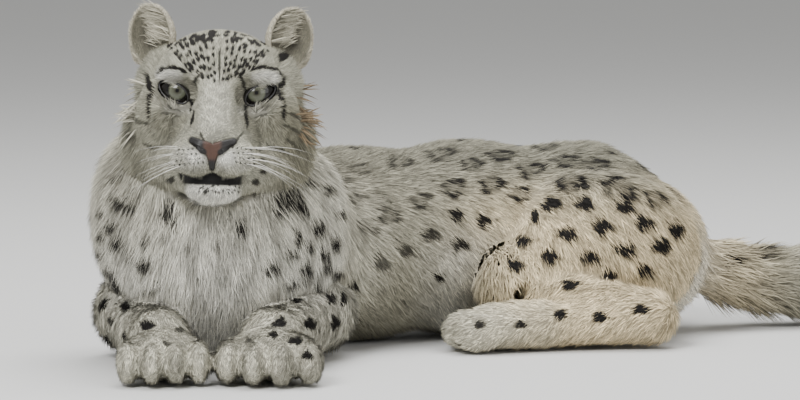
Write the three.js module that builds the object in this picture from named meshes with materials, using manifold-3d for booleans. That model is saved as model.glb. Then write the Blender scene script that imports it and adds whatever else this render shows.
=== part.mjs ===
// A snow leopard at rest, life size: it lies on its chest with the forepaws together and the head
// up and facing forward, the trunk curves round to its own left, and the long tail curls forward
// along the ground. Millimetres, +Z up, -Y the way the animal looks, +X its own left.
//
// The body is first described as a blended field of rounded bones and muscles, out to the tips of
// the coat. Each region is meshed from that field and then parted from its neighbours by thin cuts.
import * as THREE from "three";
import { mergeVertices } from "three/addons/utils/BufferGeometryUtils.js";
import Module from "manifold-3d";

const wasm = await Module();
wasm.setup();

// Driving dimensions.
const eyeSpacing = 80; // between the centres of the eyes
const eyeHeight = 284; // of the eyes above the ground
const eyeRadius = 15;
const shoulderReach = 92; // from the middle of the chest to each elbow
const backHeight = 210; // of the loin above the ground, with its coat
const tailGirth = 48; // radius of the tail with its coat
const tailLengths = 5;
const coreDepth = 4; // of the body below the tips of the locks, where it carries them
const gap = 0.3; // between pieces that touch

const vec = (x, y, z) => new THREE.Vector3(x, y, z);
const deg = (a) => (a * Math.PI) / 180;
const sides = [
  ["left", 1],
  ["right", -1],
];

// Fields: functions of a point that are negative inside a form and grow by about 1 for each mm outside it.
function egg(centre, radii, turn = 0) {
  const c = Math.cos(turn);
  const s = Math.sin(turn);
  return (x, y, z) => {
    const dx = x - centre[0];
    const dy = y - centre[1];
    const u = (dx * c + dy * s) / radii[0];
    const v = (dy * c - dx * s) / radii[1];
    const w = (z - centre[2]) / radii[2];
    const k0 = Math.hypot(u, v, w);
    const k1 = Math.hypot(u / radii[0], v / radii[1], w / radii[2]);
    return k1 < 1e-9 ? -Math.min(...radii) : (k0 * (k0 - 1)) / k1;
  };
}

function limb(a, ra, b, rb) {
  const d = [b[0] - a[0], b[1] - a[1], b[2] - a[2]];
  const dd = d[0] * d[0] + d[1] * d[1] + d[2] * d[2];
  return (x, y, z) => {
    const along = ((x - a[0]) * d[0] + (y - a[1]) * d[1] + (z - a[2]) * d[2]) / dd;
    const t = Math.min(1, Math.max(0, along));
    const away = Math.hypot(x - a[0] - t * d[0], y - a[1] - t * d[1], z - a[2] - t * d[2]);
    return away - ra - (rb - ra) * t;
  };
}

function blend(soft, ...fields) {
  return (x, y, z) => {
    let all = fields[0](x, y, z);
    for (let i = 1; i < fields.length; i += 1) {
      const one = fields[i](x, y, z);
      const h = Math.max(soft - Math.abs(all - one), 0) / soft;
      all = Math.min(all, one) - (h * h * soft) / 4;
    }
    return all;
  };
}

// What is left of a field when a hollow is scooped out of it.
const scoop = (soft, field, hollow) => {
  const left = blend(soft, (x, y, z) => -field(x, y, z), hollow);
  return (x, y, z) => -left(x, y, z);
};

// A form given for one side in the head's own frame, used on both.
const both = (field) => (x, y, z) => field(Math.abs(x), y, z);

// Meshing: one corner of the mesh in each grid cell that the surface passes through, moved onto
// the surface.
function marks(from, to, step) {
  const n = Math.ceil((to - from) / step);
  return Array.from({ length: n + 1 }, (_, i) => from + i * step);
}

function meshOf(field, low, high, step) {
  const [xs, ys, zs] = [0, 1, 2].map((i) => marks(low[i], high[i], Array.isArray(step) ? step[i] : step));
  const [nx, ny, nz] = [xs.length, ys.length, zs.length];
  const at = (i, j, k) => (k * ny + j) * nx + i;
  const value = new Float64Array(nx * ny * nz);
  for (let k = 0; k < nz; k += 1)
    for (let j = 0; j < ny; j += 1)
      for (let i = 0; i < nx; i += 1) {
        const edge = !i || !j || !k || i === nx - 1 || j === ny - 1 || k === nz - 1;
        const here = field(xs[i], ys[j], zs[k]) || 1e-9;
        // The surface is closed where the box ends.
        value[at(i, j, k)] = edge ? Math.max(here, 1) : here;
      }

  const points = [];
  const cornerOf = new Map();
  const edges = [
    [0, 0, 0, 1, 0, 0], [0, 1, 0, 1, 1, 0], [0, 0, 1, 1, 0, 1], [0, 1, 1, 1, 1, 1],
    [0, 0, 0, 0, 1, 0], [1, 0, 0, 1, 1, 0], [0, 0, 1, 0, 1, 1], [1, 0, 1, 1, 1, 1],
    [0, 0, 0, 0, 0, 1], [1, 0, 0, 1, 0, 1], [0, 1, 0, 0, 1, 1], [1, 1, 0, 1, 1, 1],
  ];
  for (let k = 0; k < nz - 1; k += 1)
    for (let j = 0; j < ny - 1; j += 1)
      for (let i = 0; i < nx - 1; i += 1) {
        const sum = [0, 0, 0];
        let crossings = 0;
        for (const [a, b, c, d, e, f] of edges) {
          const v0 = value[at(i + a, j + b, k + c)];
          const v1 = value[at(i + d, j + e, k + f)];
          if (v0 < 0 === v1 < 0) continue;
          const t = v0 / (v0 - v1);
          sum[0] += xs[i + a] + t * (xs[i + d] - xs[i + a]);
          sum[1] += ys[j + b] + t * (ys[j + e] - ys[j + b]);
          sum[2] += zs[k + c] + t * (zs[k + f] - zs[k + c]);
          crossings += 1;
        }
        if (!crossings) continue;
        const p = sum.map((s) => s / crossings);
        const cell = [[xs[i], xs[i + 1]], [ys[j], ys[j + 1]], [zs[k], zs[k + 1]]];
        for (let turn = 0; turn < 3; turn += 1) {
          const [n, f] = slope(field, p);
          for (let a = 0; a < 3; a += 1) {
            p[a] = Math.min(cell[a][1], Math.max(cell[a][0], p[a] - f * n[a]));
          }
        }
        cornerOf.set(at(i, j, k), points.length / 3);
        points.push(...p);
      }

  const faces = [];
  const quad = (a, b, c, d, outward) => {
    const [p, q, r, s] = (outward ? [a, b, c, d] : [a, d, c, b]).map((key) => cornerOf.get(key));
    const span = (m, n) =>
      Math.hypot(...[0, 1, 2].map((t) => points[3 * m + t] - points[3 * n + t]));
    if (span(p, r) < span(q, s)) faces.push(p, q, r, p, r, s);
    else faces.push(q, r, s, q, s, p);
  };
  for (let k = 0; k < nz - 1; k += 1)
    for (let j = 0; j < ny - 1; j += 1)
      for (let i = 0; i < nx - 1; i += 1) {
        const here = value[at(i, j, k)] < 0;
        if (j && k && here !== value[at(i + 1, j, k)] < 0)
          quad(at(i, j - 1, k - 1), at(i, j, k - 1), at(i, j, k), at(i, j - 1, k), here);
        if (i && k && here !== value[at(i, j + 1, k)] < 0)
          quad(at(i - 1, j, k - 1), at(i - 1, j, k), at(i, j, k), at(i, j, k - 1), here);
        if (i && j && here !== value[at(i, j, k + 1)] < 0)
          quad(at(i - 1, j - 1, k), at(i, j - 1, k), at(i, j, k), at(i - 1, j, k), here);
      }
  const geometry = new THREE.BufferGeometry();
  geometry.setAttribute("position", new THREE.Float32BufferAttribute(points, 3));
  geometry.setIndex(faces);
  return geometry;
}

// The direction in which a field grows fastest at p, and its value there.
function slope(field, p) {
  const e = 0.5;
  const [x, y, z] = p;
  const g = [
    field(x + e, y, z) - field(x - e, y, z),
    field(x, y + e, z) - field(x, y - e, z),
    field(x, y, z + e) - field(x, y, z - e),
  ];
  const size = Math.hypot(...g) || 1;
  return [g.map((c) => c / size), field(x, y, z)];
}

// Solids.
function solidOf(geometry) {
  const plain = geometry.clone();
  for (const name of Object.keys(plain.attributes)) {
    if (name !== "position") plain.deleteAttribute(name);
  }
  const merged = mergeVertices(plain, 1e-4);
  return new wasm.Manifold(
    new wasm.Mesh({
      numProp: 3,
      vertProperties: new Float32Array(merged.attributes.position.array),
      triVerts: new Uint32Array(merged.index.array),
    }),
  );
}

function geometryOf(solid) {
  const mesh = solid.getMesh();
  const geometry = new THREE.BufferGeometry();
  geometry.setAttribute("position", new THREE.Float32BufferAttribute(mesh.vertProperties, 3));
  geometry.setIndex(new THREE.Uint32BufferAttribute(mesh.triVerts, 1));
  return geometry;
}

const largest = (solid) => solid.decompose().reduce((a, b) => (b.volume() > a.volume() ? b : a));

const everything = 3000;

// A block that fills all space ahead of a plane, to cut with.
function ahead(point, normal, offset) {
  const block = new THREE.BoxGeometry(everything, everything, everything);
  block.translate(0, 0, everything / 2 + offset);
  const turn = new THREE.Quaternion().setFromUnitVectors(vec(0, 0, 1), vec(...normal).normalize());
  block.applyQuaternion(turn);
  block.translate(...point);
  return solidOf(block);
}

// Parts a solid with a thin cut across a plane: what lies behind it, then what lies ahead of it.
function parted(solid, point, normal) {
  const back = normal.map((c) => -c);
  return [solid.subtract(ahead(point, normal, -gap / 2)), solid.subtract(ahead(point, back, -gap / 2))];
}

const aboveGround = (solid) => solid.subtract(ahead([0, 0, 0], [0, 0, -1], 0));

// The same mesh with each corner moved outward, to cut its neighbours clear of it.
function grown(field, geometry, by) {
  const larger = geometry.clone();
  const at = larger.attributes.position;
  for (let i = 0; i < at.count; i += 1) {
    const p = [at.getX(i), at.getY(i), at.getZ(i)];
    const [out] = slope(field, p);
    at.setXYZ(i, p[0] + by * out[0], p[1] + by * out[1], p[2] + by * out[2]);
  }
  return larger;
}

// The head, in its own frame: origin midway between the eyes, x to its left, y into the head, z up.
const headTilt = deg(-5); // about X: the face looks up a little
const headRoll = deg(1.6); // about Y
const headTurn = new THREE.Matrix4()
  .makeTranslation(0, 0, eyeHeight)
  .multiply(new THREE.Matrix4().makeRotationFromEuler(new THREE.Euler(headTilt, headRoll, 0)));
const headTurnBack = headTurn.clone().invert();
const inHead = (field) => (x, y, z) => {
  const m = headTurnBack.elements;
  return field(
    m[0] * x + m[4] * y + m[8] * z + m[12],
    m[1] * x + m[5] * y + m[9] * z + m[13],
    m[2] * x + m[6] * y + m[10] * z + m[14],
  );
};
const eyeCentre = [eyeSpacing / 2, 5, 0];
const lidRadius = eyeRadius + 3;

const skull = both(
  blend(
    16,
    egg([0, 52, 6], [74, 80, 61]),
    egg([0, 8, 24], [54, 36, 38]),
    egg([54, 26, -26], [33, 44, 44]),
    egg([66, 50, -42], [32, 34, 46]),
  ),
);
const brows = both(egg([36, -3, 19], [24, 17, 11], deg(20)));
const bridge = limb([0, -10, 2], 24, [0, -66, -43], 17);
const muzzle = both(
  blend(
    10,
    limb([10, -15, -48], 34, [6, -52, -62], 27),
    egg([21, -61, -66], [24, 26, 19]),
    limb([14, -34, -90], 19, [46, 35, -62], 36),
  ),
);
const chin = egg([0, -46, -97], [27, 27, 17]);
const sockets = both(egg([43, -25, -1], [24, 17, 15]));
const lidBalls = both(egg(eyeCentre, [lidRadius, lidRadius, lidRadius]));
const face = scoop(6, blend(14, skull, brows, bridge, muzzle), sockets);
const headField = inHead(blend(5, blend(9, face, chin), lidBalls));

// The trunk: rounded masses strung along a spine that turns from forward to the animal's left.
const trunkField = blend(
  34,
  limb([0, 66, 246], 82, [-16, 100, 186], 98),
  egg([-4, 58, 116], [98, 94, 112]),
  egg([-80, 108, 150], [60, 76, 92]),
  egg([76, 112, 140], [58, 76, 88]),
  limb([20, 170, 118], 102, [130, 268, 106], 102),
  limb([130, 268, 106], 102, [250, 328, backHeight - 104], 105),
  limb([250, 328, backHeight - 104], 105, [380, 345, 102], 106),
  limb([380, 345, 102], 106, [445, 355, 88], 84),
);

// Legs. Each is a chain of rounded bones; the paws carry four toes.
function foot(centre, size, heading, toeSpread) {
  const [long, wide, high] = size;
  const c = Math.cos(heading);
  const s = Math.sin(heading);
  const place = (ahead, across, up) => [
    centre[0] + ahead * s + across * c,
    centre[1] - ahead * c + across * s,
    up,
  ];
  const toes = [-1.5, -0.5, 0.5, 1.5].map((n) => {
    const back = Math.abs(n) > 1 ? long * 0.1 : 0;
    return egg(
      place(long * 0.24 - back, n * toeSpread, high * 0.42),
      [wide * 0.14, long * 0.26, high * 0.44],
      heading,
    );
  });
  const sole = egg(
    place(-long * 0.1, 0, high * 0.5),
    [wide * 0.46, long * 0.4, high * 0.52],
    heading,
  );
  return blend(6, sole, ...toes);
}

const forelegs = sides.map(([side, sign]) => {
  const elbow = [sign * shoulderReach + (sign > 0 ? 4 : 0), 116, 46];
  const wrist = [sign * 57, -50, 40];
  const paw = [sign > 0 ? 56 : -51, -96, 0];
  const size = sign > 0 ? [112, 112, 56] : [108, 98, 56];
  return {
    side,
    sign,
    wrist,
    paw,
    arm: blend(
      14,
      limb(elbow, 43, wrist, 33),
      egg([elbow[0], elbow[1] + 10, elbow[2] + 4], [44, 46, 44]),
    ),
    hand: blend(
      12,
      limb(wrist, 33, [paw[0], paw[1] + 26, 34], 28),
      foot(paw, size, deg(sign * -4), sign > 0 ? 27 : 23),
    ),
  };
});

// The near hind leg lies along the flank; the far one mirrors it across the spine.
const hindlegs = [
  {
    side: "left",
    hip: [400, 268, 100],
    knee: [306, 226, 70],
    hock: [452, 198, 36],
    paw: [282, 174, 0],
    out: -1,
  },
  {
    side: "right",
    hip: [396, 432, 92],
    knee: [312, 478, 66],
    hock: [458, 500, 36],
    paw: [290, 522, 0],
    out: 1,
  },
].map((leg) => {
  const shin = [leg.knee[0] + 10, leg.knee[1] + leg.out * 8, leg.knee[2] - 8];
  const heel = [leg.hock[0], leg.hock[1], leg.hock[2] - 4];
  const toeRoot = [leg.paw[0] + 34, leg.paw[1], 28];
  return {
    ...leg,
    thigh: blend(
      30,
      egg(leg.hip, [112, 70, 92]),
      limb([leg.hip[0] - 20, leg.hip[1], leg.hip[2]], 68, leg.knee, 50),
    ),
    shank: blend(12, limb(shin, 40, leg.hock, 30), limb(heel, 30, toeRoot, 27)),
    hand: blend(
      10,
      limb([leg.paw[0] + 50, leg.paw[1], 28], 27, toeRoot, 26),
      foot(leg.paw, [112, 92, 54], deg(-90), 22),
    ),
  };
});

// The tail: rings of one outline swept along its path, in five lengths.
const tailPath = new THREE.CatmullRomCurve3([
  vec(500, 366, 76), vec(575, 396, 56), vec(680, 412, 47), vec(785, 394, 47), vec(866, 332, 47),
  vec(906, 238, 47), vec(896, 136, 46), vec(832, 58, 44), vec(748, 20, 40),
]);

function tailField(depth) {
  const joints = 18;
  const links = Array.from({ length: joints }, (_, i) => {
    const [from, to] = [i / joints, (i + 1) / joints];
    const full = (u) => 0.86 + 0.2 * Math.sin(Math.PI * Math.min(1, u * 1.1)) - 0.12 * u * u;
    const girth = (u) => tailGirth * full(u) - depth;
    const place = (u) => tailPath.getPointAt(u).toArray();
    return limb(place(from), girth(from), place(to), girth(to));
  });
  return blend(8, ...links);
}

// Locks of long coat. Each is flat, rises from deep in the body, bends along the lie and tapers to a tip.
const lockShapes = {
  ruff: { length: 52, width: 24, thick: 7, rise: 5 },
  bib: { length: 74, width: 34, thick: 8, rise: 4 },
  belly: { length: 66, width: 36, thick: 9, rise: 3 },
  tail: { length: 62, width: 30, thick: 8, rise: 4 },
};
const lockSink = 13;

function lock(field, root, lie, shape, scale) {
  const stations = [
    [-0.14, -lockSink, 0.8, 1],
    [0.22, shape.rise * 0.4, 1, 1],
    [0.66, shape.rise, 0.7, 0.7],
    [1, shape.rise, 0, 0],
  ];
  const points = [];
  for (const [s, height, broad, deep] of stations) {
    const p = root.map((c, i) => c + lie[i] * shape.length * scale * s);
    let out = [];
    for (let turn = 0; turn < 3; turn += 1) {
      const [n, f] = slope(field, p);
      out = n;
      for (let i = 0; i < 3; i += 1) {
        p[i] -= f * n[i];
      }
    }
    const up = vec(...out);
    const side = up.clone().cross(vec(...lie)).normalize();
    const centre = vec(...p).addScaledVector(up, height);
    if (!broad) {
      points.push(centre);
      continue;
    }
    const half = (shape.width * broad) / 2;
    points.push(
      centre.clone().addScaledVector(side, half),
      centre.clone().addScaledVector(up, (shape.thick * deep) / 2),
      centre.clone().addScaledVector(side, -half),
      centre.clone().addScaledVector(up, (-shape.thick * deep) / 2),
    );
  }
  const faces = [0, 2, 1, 0, 3, 2];
  for (let ring = 0; ring < 2; ring += 1) {
    for (let i = 0; i < 4; i += 1) {
      const [a, b] = [4 * ring + i, 4 * ring + ((i + 1) % 4)];
      faces.push(a, b, b + 4, a, b + 4, a + 4);
    }
  }
  for (let i = 0; i < 4; i += 1) {
    faces.push(8 + i, 8 + ((i + 1) % 4), 12);
  }
  const geometry = new THREE.BufferGeometry();
  const corners = points.flatMap((p) => p.toArray());
  geometry.setAttribute("position", new THREE.Float32BufferAttribute(corners, 3));
  geometry.setIndex(faces);
  const solid = solidOf(geometry);
  return solid.volume() > 0 ? solid : solidOf(geometry.setIndex(faces.toReversed()));
}

function seeded(seed) {
  let state = seed;
  return () => {
    state = (state * 1664525 + 1013904223) % 4294967296;
    return state / 4294967296;
  };
}

// Sets locks over a body: spread evenly where the zone allows, none reaching across a cut.
function coated(solid, field, { shape, seed, count, apart, zone, lie, fits }) {
  const random = seeded(seed);
  const box = solid.boundingBox();
  const roots = [];
  const locks = [solid];
  for (let tries = 0; tries < count * 400 && roots.length < count; tries += 1) {
    const p = [0, 1, 2].map((i) => box.min[i] + random() * (box.max[i] - box.min[i]));
    let out = [];
    for (let turn = 0; turn < 4; turn += 1) {
      const [n, f] = slope(field, p);
      out = n;
      for (let i = 0; i < 3; i += 1) {
        p[i] -= f * n[i];
      }
    }
    if (Math.abs(field(...p)) > 0.5 || !zone(p, out)) continue;
    if (roots.some((q) => Math.hypot(p[0] - q[0], p[1] - q[1], p[2] - q[2]) < apart)) continue;
    const way = vec(...lie(p)).addScaledVector(vec(...out), -vec(...lie(p)).dot(vec(...out))).normalize();
    const scale = 0.85 + 0.3 * random();
    const tip = p.map((c, i) => c + way.getComponent(i) * shape.length * scale);
    const back = p.map((c, i) => c - way.getComponent(i) * shape.length * scale * 0.2);
    if (tip[2] < 6 || !fits(tip, p) || !fits(back, p)) continue;
    roots.push(p);
    locks.push(lock(field, p, way.toArray(), shape, scale));
  }
  return largest(wasm.Manifold.union(locks));
}

// Meshes of each region, plain and grown a little to cut its neighbours with.
function body(field, low, high, step) {
  const mesh = meshOf(field, low, high, step);
  return {
    solid: largest(solidOf(mesh)),
    wide: largest(solidOf(grown(field, mesh, gap + 0.2))),
  };
}

const smoothStep = (low, high, x) => {
  const t = Math.min(1, Math.max(0, (x - low) / (high - low)));
  return t * t * (3 - 2 * t);
};
const inHeadFrame = (p) => vec(...p).applyMatrix4(headTurnBack);
// How far a place lies in the ruff, from 0 to 1: behind the cheeks and below the ears.
const ruffAt = (x, y, z) => {
  const h = inHeadFrame([x, y, z]);
  return smoothStep(46, 62, Math.abs(h.x)) * smoothStep(22, -8, h.z) * smoothStep(-4, 20, h.y);
};
const headCore = (x, y, z) => headField(x, y, z) + coreDepth * ruffAt(x, y, z);

// The trunk keeps its full depth where it lies on the ground.
const trunkCore = (x, y, z) => trunkField(x, y, z) + coreDepth * smoothStep(4, 44, z);
const wholeUpper = blend(12, trunkCore, headCore);
const tailCore = tailField(coreDepth);
const headStep = [10.3, 13, 10.3];
const headBody = body(wholeUpper, [-116, -112, 120], [116, 196, 372], headStep);
const trunkBody = body(wholeUpper, [-190, -110, -40], [580, 500, 330], 38);
const thighs = hindlegs.map(({ thigh, hip }) =>
  body(thigh, [220, hip[1] - 110, -30], [560, hip[1] + 130, 250], 32),
);
const shanks = hindlegs.map(({ shank, hock }) =>
  body(shank, [230, hock[1] - 90, -20], [520, hock[1] + 100, 130], 23),
);
const feet = hindlegs.map(({ hand, paw }) =>
  body(hand, [200, paw[1] - 70, -16], [360, paw[1] + 70, 80], 14),
);
const arms = forelegs.map((leg) => body(leg.arm, [-180, -100, -30], [190, 200, 130], 21));
const hands = forelegs.map((leg) => body(leg.hand, [-130, -180, -16], [140, 0, 100], 13));

// Cuts between head, neck, shoulders and the lengths of the trunk.
const jawCut = { point: [0, 40, 200], normal: [0, 0.52, -0.854] };
const collarCut = { point: [-8, 56, 158], normal: [0, 0.5, -0.866] };
const ribCut = { point: [70, 190, 110], normal: [0.72, 0.69, 0] };
const loinCut = { point: [232, 318, 100], normal: [0.98, 0.2, 0] };
const hipCut = { point: [362, 345, 100], normal: [1, 0.05, 0] };

const pieces = new Map();
const keep = (name, solid) => pieces.set(name, largest(aboveGround(solid)));
const minus = (solid, ...others) => others.reduce((left, other) => left.subtract(other), solid);

// The head: sockets, the almond opening between the lids, the mouth line and a bed for the nose.
function block(width, depth, height, matrix) {
  return solidOf(new THREE.BoxGeometry(width, depth, height).applyMatrix4(matrix));
}

const headMatrix = (x, y, z, rx = 0, ry = 0, rz = 0) =>
  headTurn
    .clone()
    .multiply(new THREE.Matrix4().makeTranslation(x, y, z))
    .multiply(new THREE.Matrix4().makeRotationFromEuler(new THREE.Euler(rx, ry, rz, "ZYX")));

function ball(radius, matrix, around = 12, up = 8) {
  return solidOf(new THREE.SphereGeometry(radius, around, up).applyMatrix4(matrix));
}

const beyond = (cut, p) => cut.normal.reduce((sum, c, i) => sum + c * (p[i] - cut.point[i]), 0);
const sameSide = (cuts, margin) => (p, q) =>
  cuts.every((cut) => {
    const [from, to] = [beyond(cut, p), beyond(cut, q)];
    return from > margin === to > margin && Math.abs(from) > margin;
  });

const ruffed = coated(headBody.solid, wholeUpper, {
  shape: lockShapes.ruff,
  seed: 21,
  count: 26,
  apart: 21,
  zone: (p) => ruffAt(...p) > 0.6 && beyond(jawCut, p) < -30,
  lie: (p) => {
    const h = inHeadFrame(p);
    return [Math.sign(h.x) * 0.25, 0.35, -0.9];
  },
  fits: sameSide([jawCut], 3),
});
let head = parted(ruffed, jawCut.point, jawCut.normal)[0];
const slant = deg(16); // the outer corner of each eye is higher than the inner one
const openUp = deg(26);
const openDown = deg(24);
for (const [side, sign] of sides) {
  const at = [sign * eyeCentre[0], eyeCentre[1], eyeCentre[2]];
  const wedgeSize = 60;
  // Two half spaces through the line between the eye's corners leave a wedge, open to the front.
  const lower = block(wedgeSize, wedgeSize, wedgeSize, headMatrix(...at, 0, -sign * slant, 0)
    .multiply(new THREE.Matrix4().makeRotationX(openDown))
    .multiply(new THREE.Matrix4().makeTranslation(0, -wedgeSize / 2, wedgeSize / 2)));
  const upper = block(wedgeSize, wedgeSize, wedgeSize, headMatrix(...at, 0, -sign * slant, 0)
    .multiply(new THREE.Matrix4().makeRotationX(-openUp))
    .multiply(new THREE.Matrix4().makeTranslation(0, -wedgeSize / 2, -wedgeSize / 2)));
  head = head.subtract(lower.intersect(upper).intersect(ball(lidRadius + 3.5, headMatrix(...at))));
  head = head.subtract(ball(eyeRadius + gap, headMatrix(...at)));
  pieces.set(`eye_${side}`, ball(eyeRadius, headMatrix(...at)));
}

const mouthShape = new THREE.Shape();
mouthShape.moveTo(-34, -82);
mouthShape.quadraticCurveTo(-18, -90, 0, -79);
mouthShape.quadraticCurveTo(18, -90, 34, -82);
mouthShape.quadraticCurveTo(16, -95, 0, -91);
mouthShape.quadraticCurveTo(-16, -95, -34, -82);
const mouthDepth = 66;
const mouth = new THREE.ExtrudeGeometry(mouthShape, {
  depth: mouthDepth,
  bevelEnabled: false,
  curveSegments: 5,
});
// The outline is turned upright, so its depth runs along -y.
mouth.rotateX(Math.PI / 2);
mouth.translate(0, -34, 0);
head = head.subtract(solidOf(mouth.applyMatrix4(headTurn)));

// The nose pad, with a comma-shaped nostril on each side.
function nosePad(extra) {
  const outline = new THREE.Shape();
  outline.moveTo(0, 9 + extra);
  outline.quadraticCurveTo(16, 12 + extra, 24 + extra, 11 + extra);
  outline.quadraticCurveTo(20, -3, 5 + extra, -12);
  outline.lineTo(3 + extra, -22 - extra);
  outline.lineTo(-3 - extra, -22 - extra);
  outline.lineTo(-5 - extra, -12);
  outline.quadraticCurveTo(-20, -3, -24 - extra, 11 + extra);
  outline.quadraticCurveTo(-16, 12 + extra, 0, 9 + extra);
  const pad = new THREE.ExtrudeGeometry(outline, {
    depth: 34 + extra,
    bevelEnabled: false,
    curveSegments: 3,
  });
  pad.rotateX(Math.PI / 2);
  pad.translate(0, -54 + extra, -58);
  return solidOf(pad.applyMatrix4(headTurn));
}

const noseDome = ball(1, headMatrix(2, -66, -55).scale(vec(27, 24, 25)), 12, 8);
const nostrils = sides.map(([, sign]) => {
  const place = headMatrix(sign * 13, -88, -56, 0, sign * deg(28), 0);
  return ball(1, place.scale(vec(7, 9, 3.6)), 8, 6);
});
pieces.set("nose", largest(minus(nosePad(0).intersect(noseDome), ...nostrils)));
head = head.subtract(nosePad(gap));

// The ears: cups that open forward and a little outward.
for (const [side, sign] of sides) {
  const lean = sign * deg(13);
  const turn = sign * deg(16);
  const seat = headMatrix(sign * 70, 50, 56, deg(-8), lean, turn);
  const outer = ball(1, seat.clone().scale(vec(25, 17, 37)), 14, 9);
  const cup = seat.multiply(new THREE.Matrix4().makeTranslation(0, -11, 3));
  const hollow = ball(1, cup.scale(vec(20.5, 18, 31)), 12, 8);
  pieces.set(`ear_${side}`, largest(minus(outer, hollow, headBody.wide)));
}
keep("head", head);

// The trunk, cut clear of the limbs that lie against it.
const armsWide = arms.map((arm) => arm.wide);
const handsWide = hands.map((hand) => hand.wide);
const thighsWide = thighs.map((thigh) => thigh.wide);
const shanksWide = shanks.map((shank) => shank.wide);
const feetWide = feet.map((paw) => paw.wide);
const cuts = [jawCut, collarCut, ribCut, loinCut, hipCut];
const bibbed = coated(trunkBody.solid, wholeUpper, {
  shape: lockShapes.bib,
  seed: 5,
  count: 42,
  apart: 37,
  zone: (p, out) => p[1] < 110 && out[1] < 0.35 && beyond(jawCut, p) > 6 && p[2] > 40,
  lie: (p) => [p[0] * 0.002, -0.2, -1],
  fits: sameSide([jawCut, collarCut], 3),
});
const fringed = coated(bibbed, wholeUpper, {
  shape: lockShapes.belly,
  seed: 9,
  count: 22,
  apart: 42,
  zone: (p, out) =>
    beyond(ribCut, p) > 10 && p[2] > 46 && p[2] < 120 && out[2] < 0.2 && p[0] > 60 && p[0] < 400,
  lie: () => [0.55, 0.1, -0.8],
  fits: sameSide(cuts, 3),
});
const underJaw = parted(fringed, jawCut.point, jawCut.normal)[1];
const trunk = minus(underJaw, ...armsWide, ...handsWide, ...thighsWide, ...shanksWide, ...feetWide);
const [collar, belowCollar] = parted(trunk, collarCut.point, collarCut.normal);
const [chest, behindChest] = parted(belowCollar, ribCut.point, ribCut.normal);
const [ribs, behindRibs] = parted(behindChest, loinCut.point, loinCut.normal);
const [loin, croup] = parted(behindRibs, hipCut.point, hipCut.normal);
keep("neck", collar);
const [inner, leftShoulder] = parted(chest, [84, 100, 120], [1, 0, 0]);
const [middle, rightShoulder] = parted(inner, [-90, 100, 120], [-1, 0, 0]);
keep("shoulder_left", leftShoulder);
keep("shoulder_right", rightShoulder);
keep("chest", middle);
keep("ribs", ribs);
keep("loin", loin);
keep("croup", croup);

// The legs.
forelegs.forEach((leg, i) => {
  const cut = { point: leg.wrist, normal: [leg.sign * -0.1, -1, 0] };
  keep(`forearm_${leg.side}`, parted(arms[i].solid, cut.point, cut.normal)[0]);
  keep(`forepaw_${leg.side}`, parted(hands[i].solid, cut.point, cut.normal)[1]);
});
hindlegs.forEach((leg, i) => {
  const cut = { point: [leg.paw[0] + 46, leg.paw[1], 0], normal: [-1, 0, 0] };
  keep(`thigh_${leg.side}`, minus(thighs[i].solid, shanksWide[i], feetWide[i]));
  keep(`shank_${leg.side}`, parted(shanks[i].solid, cut.point, cut.normal)[0]);
  keep(`hindpaw_${leg.side}`, parted(feet[i].solid, cut.point, cut.normal)[1]);
});

// The tail, its locks lying towards the tip.
const tailMeshStep = 29;
const tailBody = body(tailCore, [430, -50, -10], [980, 480, 140], tailMeshStep);
const tailMarks = Array.from({ length: 121 }, (_, i) => tailPath.getPointAt(i / 120));
const runTo = (p) => {
  const here = vec(...p);
  let best = 0;
  tailMarks.forEach((mark, i) => {
    if (mark.distanceTo(here) < tailMarks[best].distanceTo(here)) best = i;
  });
  return best / 120;
};
const tailCoated = coated(tailBody.solid, tailCore, {
  shape: lockShapes.tail,
  seed: 3,
  count: 25,
  apart: 38,
  zone: (p, out) => runTo(p) > 0.12 && out[2] > -0.35,
  lie: (p) => tailPath.getTangentAt(runTo(p)).toArray(),
  fits: (p, q) => Math.floor(runTo(p) * tailLengths) === Math.floor(runTo(q) * tailLengths),
});
let rest = minus(tailCoated, trunkBody.wide, ...thighsWide, ...shanksWide);
for (let i = 1; i <= tailLengths; i += 1) {
  if (i === tailLengths) {
    keep(`tail_${i}`, rest);
    break;
  }
  const t = i / tailLengths;
  const point = tailPath.getPointAt(t).toArray();
  const normal = tailPath.getTangentAt(t).setZ(0).toArray();
  const reach = tailGirth * 2.2;
  // Only the stretch near the plane is parted, as the tail turns back on itself.
  const beside = block(reach * 2, reach * 2, reach * 2, new THREE.Matrix4().makeTranslation(...point));
  const onward = ahead(point, normal, -gap / 2);
  const backward = ahead(point, normal.map((c) => -c), -gap / 2);
  const slab = onward.intersect(backward).intersect(beside);
  const lengths = rest.subtract(slab).decompose();
  const before = tailPath.getPointAt(t - 0.5 / tailLengths);
  const distance = (solid) => {
    const box = solid.boundingBox();
    const [x, y] = [0, 1].map((i) => (box.min[i] + box.max[i]) / 2);
    return Math.hypot(x - before.x, y - before.y);
  };
  lengths.sort((a, b) => distance(a) - distance(b));
  keep(`tail_${i}`, lengths[0]);
  rest = largest(lengths.slice(1).reduce((a, b) => a.add(b)));
}

// Colours of the coat and of the bare parts.
const finishes = {
  coat: new THREE.MeshStandardMaterial({ color: 0xb5b0a2, roughness: 0.95, metalness: 0 }),
  eye: new THREE.MeshStandardMaterial({ color: 0x8f9880, roughness: 0.1, metalness: 0 }),
  nose: new THREE.MeshStandardMaterial({ color: 0x5b3d36, roughness: 0.6, metalness: 0 }),
};

const leopard = new THREE.Group();
const bounds = new THREE.Box3();
for (const [name, solid] of pieces) {
  const finish = name.startsWith("eye") ? finishes.eye : name === "nose" ? finishes.nose : finishes.coat;
  const mesh = new THREE.Mesh(geometryOf(solid), finish);
  mesh.name = name;
  leopard.add(mesh);
  bounds.expandByObject(mesh);
}

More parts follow.
